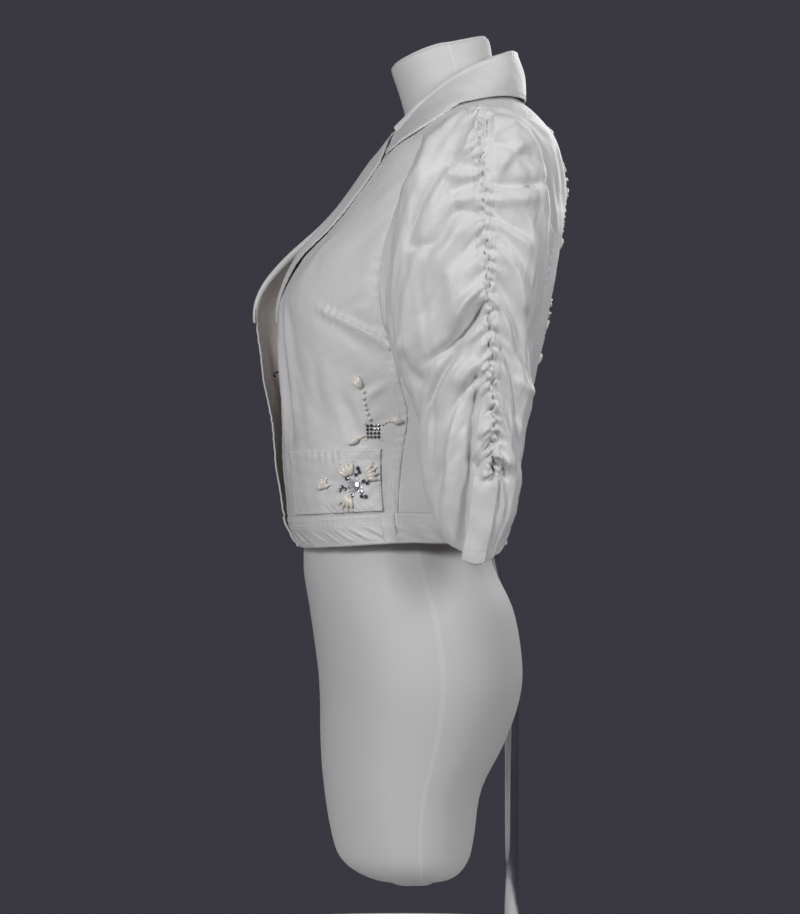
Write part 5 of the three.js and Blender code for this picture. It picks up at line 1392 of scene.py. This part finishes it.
def beads(name, surface, inside, anchor, spray, mirror=1, node_name=None):
    """One mesh of all a spray's beads, each set on the nearest grid point and leant to its normal."""
    flat = surface.reshape(-1, 3)
    normals = np.cross(np.gradient(surface, axis=1), np.gradient(surface, axis=0)).reshape(-1, 3)
    normals /= np.maximum(length(normals), 1e-9)[:, None]
    normals *= np.sign(np.sum(normals * (flat - inside(flat)), -1))[:, None]
    home = np.argmin(length(flat - np.asarray(anchor, float)))
    up = np.array([0, 0, 1.0]) - normals[home] * normals[home, 2]
    up /= length(up)
    across = np.cross(up, normals[home]) * mirror
    target = flat[home] + spray[:, 1:2] * across + spray[:, 2:3] * up
    nearest = np.array([np.argmin(np.sum((flat - spot)**2, -1)) for spot in target])
    lean = np.mean(normals[(nearest[:, None] + [-2, -1, 0, 1, 2]).clip(0, len(flat) - 1)], 1)
    lean /= length(lean)[:, None]
    centre = target - np.sum((target - flat[nearest]) * lean, -1)[:, None] * lean
    level_up = up - np.sum(up * lean, -1)[:, None] * lean
    level_up /= length(level_up)[:, None]
    level_across = np.cross(level_up, lean) * mirror
    cos, sin = np.cos(spray[:, 3:4]), np.sin(spray[:, 3:4])
    forward = level_up * cos + level_across * sin
    sideways = np.cross(forward, lean)
    points, quads, kinds, start = [], [], [], 0
    for kind, (shape, faces, metal) in enumerate(SHAPES):
        here = spray[:, 0] == kind
        if not here.any():
            continue
        size = spray[here, 4:7]
        rise = size[:, 2:3] * (0.3 if metal else 0.85)
        placed = ((centre[here] + rise * lean[here])[:, None]
                  + (size[:, :1] * sideways[here])[:, None] * shape[None, :, :1]
                  + (size[:, 1:2] * forward[here])[:, None] * shape[None, :, 1:2]
                  + (size[:, 2:3] * lean[here])[:, None] * shape[None, :, 2:])
        points.append(placed.reshape(-1, 3))
        quads.append((start + np.arange(here.sum())[:, None, None] * len(shape) + faces).reshape(-1, 4))
        kinds.append(np.full(len(quads[-1]), metal))
        start += placed.shape[0] * placed.shape[1]
    made = mesh_object(name, np.concatenate(points), np.concatenate(quads))
    kinds = np.concatenate(kinds).astype(np.int32)
    made.data.polygons.foreach_set("material_index", kinds)
    made.data.polygons.foreach_set("use_smooth", kinds == 0)
    for finish in (PEARL, DARK_STONE, CRYSTAL):
        made.data.materials.append(finish)
    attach(made, "root")
    if node_name:
        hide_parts(node_name)
    print(f"{name}: {len(spray)} beads")


# %% Pocket flowers
def middle_of(node_name):
    """The middle of a CAD node's box, in mm."""
    low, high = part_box(node_name)
    return [(a + b) / 2 / MM for a, b in zip(low, high)]


def fan(u, v, turn, count, spread, reach, wide, long):
    """Pearl drops spread from one point, with a row of small pearls round their outer ends."""
    arc = {"start": turn - spread / 2, "spread": spread, "at": (u, v)}
    return np.concatenate([bead_ring(DROP_BEAD, count, reach, wide, long, wide, **arc),
                           bead_ring(PEARL_BEAD, count, reach + long + 0.9, 0.8, 0.8, 0.8, **arc)])


def petals(kind, count, start, spread, size):
    """Petals of three stones: a pair near the middle and one beyond it."""
    near = bead_ring(kind, count, 8.6, size, size, size * 0.8, start=start - 6, spread=spread)
    beside = bead_ring(kind, count, 11.3, size, size, size * 0.8, start=start + 7, spread=spread)
    far = bead_ring(kind, count, 13.9, size, size * 1.15, size * 0.8, start=start - 3, spread=spread)
    return np.concatenate([near, beside, far])


POCKET_SPRAY_SCALE = 1.28
pocket_spray = np.concatenate([
    one_bead(CRYSTAL_BEAD, 0, 0, 20, 5.2, 5.2, 4.2),
    bead_ring(CRYSTAL_BEAD, 10, 6.5, 0.9, 0.9, 0.8),
    petals(STONE_BEAD, 6, 15, 360, 1.75),
    fan(-4, 6, -24, 4, 66, 7.5, 2.2, 5.4),
    fan(8, 6, 62, 4, 66, 7.5, 2.2, 5.0),
    fan(-3, -8, 200, 4, 66, 6.5, 2.2, 5.4),
    fan(-30, -2, -10, 5, 170, 4.2, 1.8, 3.2),
    one_bead(PEARL_BEAD, -30, -2, 0, 1.6, 1.6, 1.6),
])
pocket_spray[:, [1, 2, 4, 5, 6]] *= POCKET_SPRAY_SCALE
for side, points in pocket_points.items():
    node_name = hand(side) + "_pocket_beads"
    beads(hand(side) + "_pocket_flower", points, in_body, middle_of(node_name), pocket_spray, side, node_name)

# %% Chest sprays
CHEST_X, CHEST_Y, CHEST_Z = 128, -27, 593
square = np.concatenate([bead_string(STONE_BEAD, 4, (-6, v), (6, v), 0, 1.75) for v in (-6, -2, 2, 6)])
chest_spray = np.concatenate([
    square,
    bead_string(PEARL_BEAD, 2, (-8.6, 8.6), (8.6, 8.6), 0, 1.0),
    bead_string(PEARL_BEAD, 2, (-8.6, -8.6), (8.6, -8.6), 0, 1.0),
    bead_string(PEARL_BEAD, 6, (-3.5, 13), (-8.5, 40), -2, 2.0),
    bead_ring(DROP_BEAD, 3, 7, 3.0, 7.0, 3.0, start=-56, spread=40, at=(-11, 46)),
    bead_string(PEARL_BEAD, 4, (10, 7), (19, 10), -1, 1.3),
    one_bead(DROP_BEAD, 26, 11, 92, 3.8, 6.2, 3.6),
    bead_string(PEARL_BEAD, 3, (-10, -5), (-14.5, -7), 0, 1.3),
    one_bead(DROP_BEAD, -21.5, -10.5, 240, 3.6, 6.6, 3.4),
])
for side, panel in fronts.items():
    beads(hand(side) + "_chest_spray", panel["points"], in_body, (side * CHEST_X, CHEST_Y, CHEST_Z),
          chest_spray, side)

# %% Sprays down the back
upper_spray = np.concatenate([
    one_bead(CRYSTAL_BEAD, 0, 0, 20, 6.0, 6.0, 4.4),
    bead_ring(PEARL_BEAD, 14, 8.6, 1.3, 1.3, 1.3),
    bead_ring(LEAF_BEAD, 8, 15.2, 3.0, 5.2, 3.2, start=22.5),
    bead_ring(DROP_BEAD, 8, 16.4, 2.8, 5.2, 2.8),
    bead_ring(PEARL_BEAD, 8, 24.2, 2.2, 2.2, 2.1),
    bead_string(PEARL_BEAD, 5, (0, 31), (0, 49), 0, 2.4),
    bead_ring(DROP_BEAD, 3, 8, 2.8, 5.4, 2.8, start=-50, spread=100, at=(0, 52)),
    bead_string(STONE_BEAD, 4, (0, -32), (0, -58), 0, 3.2),
    bead_string(PEARL_BEAD, 5, (5, -33), (10, -56), 2.5, 1.8),
    bead_string(PEARL_BEAD, 5, (-5, -33), (-10, -56), -2.5, 1.8),
    one_bead(DROP_BEAD, 0, -69, 180, 3.4, 6.6, 3.2),
])
lower_spray = np.concatenate([
    one_bead(CRYSTAL_BEAD, 0, 0, 20, 5.0, 5.0, 3.8),
    bead_ring(PEARL_BEAD, 12, 7.4, 1.2, 1.2, 1.2),
    bead_ring(LEAF_BEAD, 8, 13.4, 2.6, 4.4, 2.8, start=22.5),
    bead_ring(DROP_BEAD, 8, 14.2, 2.3, 4.4, 2.4),
    bead_ring(PEARL_BEAD, 8, 20.6, 1.8, 1.8, 1.8),
    bead_string(STONE_BEAD, 5, (0, 27), (0, 53), 0, 2.8),
    bead_string(PEARL_BEAD, 5, (0, -26), (0, -40), 0, 1.8),
    one_bead(DROP_BEAD, 0, -49, 180, 3.2, 6.2, 3.0),
])
for which, spray in (("upper", upper_spray), ("lower", lower_spray)):
    node_name = f"back_{which}_beads"
    beads(f"back_{which}_flower", back_points, in_body, middle_of(node_name), spray, node_name=node_name)

# %% [markdown]
# ## Hook and stand
# A chromed pole stands behind the middle of a steel disc, and a thin bent rod runs from its top up the
# form's back to a small plate. A hook of bent wire sits at the left front's edge. Turned parts are
# rings about an upright axis, and the rod and the hook are tubes swept along their routes.

# %% Functions for turned and swept parts
def solid_piece(name, points, quads, finish, node_name, slot_name):
    """A shaded mesh from points and quads in mm that stands for a CAD node."""
    made = mesh_object(name, points, quads)
    made.data.materials.append(finish)
    stands_for(made, node_name)
    print(f"{name}: {len(quads)} faces")


def edged(radius, low, high, bevel):
    """Radii and heights of a disc or bar with rounded rims, its flat ends closed towards the axis."""
    turn = np.linspace(0, np.pi / 2, 5)
    rim_in, rim_up = bevel * (1 - np.sin(turn)), bevel * (1 - np.cos(turn))
    radii = np.concatenate([[0.01, radius - 1.3 * bevel], radius - rim_in, (radius - rim_in)[::-1],
                            [radius - 1.3 * bevel, 0.01]])
    heights = np.concatenate([[low, low], low + rim_up, high - rim_up[::-1], [high, high]])
    return radii, heights


def swept(route, radius, sides, steps):
    """A tube of (y, z) stations in a plane of constant x, with rounded ends."""
    at = np.linspace(0, len(route["y"]) - 1, steps)
    centre = np.stack([np.zeros(steps), read(route, at)["y"], read(route, at)["z"]], -1)
    forward = np.gradient(centre, axis=0)
    forward /= length(forward)[:, None]
    up = np.cross(forward, [1.0, 0, 0])
    angle = np.linspace(0, 2 * np.pi, sides, endpoint=False)
    ring = np.cos(angle)[:, None] * np.array([1.0, 0, 0]) + np.sin(angle)[:, None] * up[:, None]
    size = np.full(steps, radius)
    size[[0, -1]], size[[1, -2]] = 0.02, 0.93 * radius
    points = centre[:, None] + size[:, None, None] * ring
    return points.reshape(-1, 3), grid_quads(steps, sides, wrap=True)


# %% Base, pole and rod
BASE_RADIUS, BASE_THICK, BASE_Y, BASE_BEVEL = 175, 10, 38, 2
POLE_Y, POLE_RADIUS, POLE_TOP, POLE_BEVEL, SEAT_GAP, ROD_RADIUS = 121, 7.5, 326, 1.2, 0.3, 4
ROD = table("at y z", [
    (0, 121, 326.9), (1, 120, 345), (2, 117, 375), (3, 113.6, 405), (4, 106.5, 437), (5, 101, 466),
    (6, 98, 495), (7, 97, 510), (8, 96.7, 520), (9, 91.7, 520)])
disc, disc_quads = turned(*edged(BASE_RADIUS, 0, BASE_THICK, BASE_BEVEL), 160)
solid_piece("stand_disc", disc + [0, BASE_Y, 0], disc_quads, STEEL, "stand_base", "base_steel")
tube, tube_quads = turned(*edged(POLE_RADIUS, BASE_THICK + SEAT_GAP, POLE_TOP, POLE_BEVEL), 64)
solid_piece("stand_tube", tube + [0, POLE_Y, 0], tube_quads, CHROME, "stand_pole", "stand_chrome")
solid_piece("stand_bent_rod", *swept(ROD, ROD_RADIUS, 28, 120), CHROME, "stand_rod", "stand_chrome")

# %% Fixing plate and hook
PLATE_WIDE, PLATE_TALL, PLATE_LOW, PLATE_BACK = 34, 26, 507, 91.4
HOOK_X, HOOK_RADIUS = 1.2, 0.9
HOOK = table("at y z", [
    (0, -126, 658), (1, -131, 659.5), (2, -135, 658), (3, -136, 655.5), (4, -133.5, 654.5)])
plate_t = edge_stops(12, 1, 30)
plate_out = np.minimum(plate_t, 1 - plate_t) * 30
plate_u, plate_v = np.meshgrid(-PLATE_WIDE / 2 + PLATE_WIDE * plate_t, PLATE_LOW + PLATE_TALL * plate_t)
plate_edge = np.minimum(plate_out[None, :], plate_out[:, None])
plate_points = np.stack([plate_u, PLATE_BACK + rolled(plate_edge, 0.7), plate_v], -1)
plate = grid_object("stand_small_plate", plate_points, flip=True)
plate.data.materials.append(CHROME)
plate_shell = plate.modifiers.new("thickness", "SOLIDIFY")
plate_shell.thickness, plate_shell.offset = 1.8 * MM, -1
stands_for(plate, "stand_plate")
hook, hook_quads = swept(HOOK, HOOK_RADIUS, 20, 60)
solid_piece("front_wire_hook", hook + [HOOK_X, 0, 0], hook_quads, HOOK_METAL, "front_hook", "hook_metal")

# %% [markdown]
# ## Floor, light and camera
# The photograph was taken almost straight from the side, with a long lens at the height of the waist,
# against a plain dark grey paper. A large soft light stands to the front of the camera and a weaker one
# behind it, a third from the far side draws the rim, and two faint ones open the shadows.

# %% Floor, world and lights
floor = mesh_object("floor", *turned([0.001, 460], [-0.2, -0.2], 96))
floor.data.materials.append(mottled(material("pale_floor", (0.86, 0.86, 0.85), 0.8), 6, 0.7, 0.9))

world = bpy.data.worlds.new("studio")
bpy.context.scene.world = world
world.use_nodes = True
background = world.node_tree.nodes["Background"]
background.inputs["Color"].default_value = (0.042, 0.040, 0.052, 1)
background.inputs["Strength"].default_value = 1.0


def soft_light(name, place, aim, size, watts):
    """A round area light at a place in metres, turned to face its aim."""
    data = bpy.data.lights.new(name, "AREA")
    data.shape, data.size, data.energy = "DISK", size, watts
    lamp = bpy.data.objects.new(name, data)
    bpy.context.collection.objects.link(lamp)
    lamp.location = place
    lamp.rotation_euler = (Vector(aim) - Vector(place)).to_track_quat("-Z", "Y").to_euler()


soft_light("key", (2.1, -1.3, 1.6), (0.1, 0, 0.65), 0.8, 27)
soft_light("fill", (1.8, 1.5, 1.5), (0.1, 0, 0.75), 1.2, 22)
soft_light("top", (0.6, 0.1, 2.4), (0.1, 0, 0.6), 1.2, 3)
soft_light("rim", (-1.7, 1.2, 1.5), (0, 0, 0.7), 1.4, 18)
soft_light("front", (0.9, -2.1, 0.6), (0, 0, 0.6), 1.0, 5)

# %% Camera
CAMERA_AZIMUTH, CAMERA_AWAY, CAMERA_HEIGHT, PICTURE_HEIGHT, SENSOR_MM = 87, 3.0, 0.568, 0.98712, 36
camera_data = bpy.data.cameras.new("camera")
camera_data.sensor_fit, camera_data.sensor_width = "AUTO", SENSOR_MM
camera_data.lens = SENSOR_MM * CAMERA_AWAY / PICTURE_HEIGHT
camera = bpy.data.objects.new("camera", camera_data)
bpy.context.collection.objects.link(camera)
azimuth = np.radians(CAMERA_AZIMUTH)
camera.location = (CAMERA_AWAY * np.sin(azimuth), -CAMERA_AWAY * np.cos(azimuth), CAMERA_HEIGHT)
camera.rotation_euler = (np.pi / 2, 0, azimuth)
bpy.context.scene.camera = camera
bpy.context.scene.view_settings.view_transform = "Standard"
bpy.context.scene.view_settings.look = "None"
bpy.context.scene.view_settings.exposure = 0.0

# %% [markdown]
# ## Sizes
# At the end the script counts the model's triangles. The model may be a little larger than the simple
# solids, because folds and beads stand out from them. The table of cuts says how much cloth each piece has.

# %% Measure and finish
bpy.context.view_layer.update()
grid_faces = {made.name: 2 * len(made.data.polygons) * (2 if made.modifiers else 1)
              for made in bpy.data.objects if made.type == "MESH"}
print("triangles in all, about:", sum(grid_faces.values()))
print("most in one:", max(grid_faces, key=grid_faces.get))
for name, flat, ratio in cut_list:
    print(f"  {name}: flat {flat[0]} x {flat[1]} m, measured / cut area {ratio}")
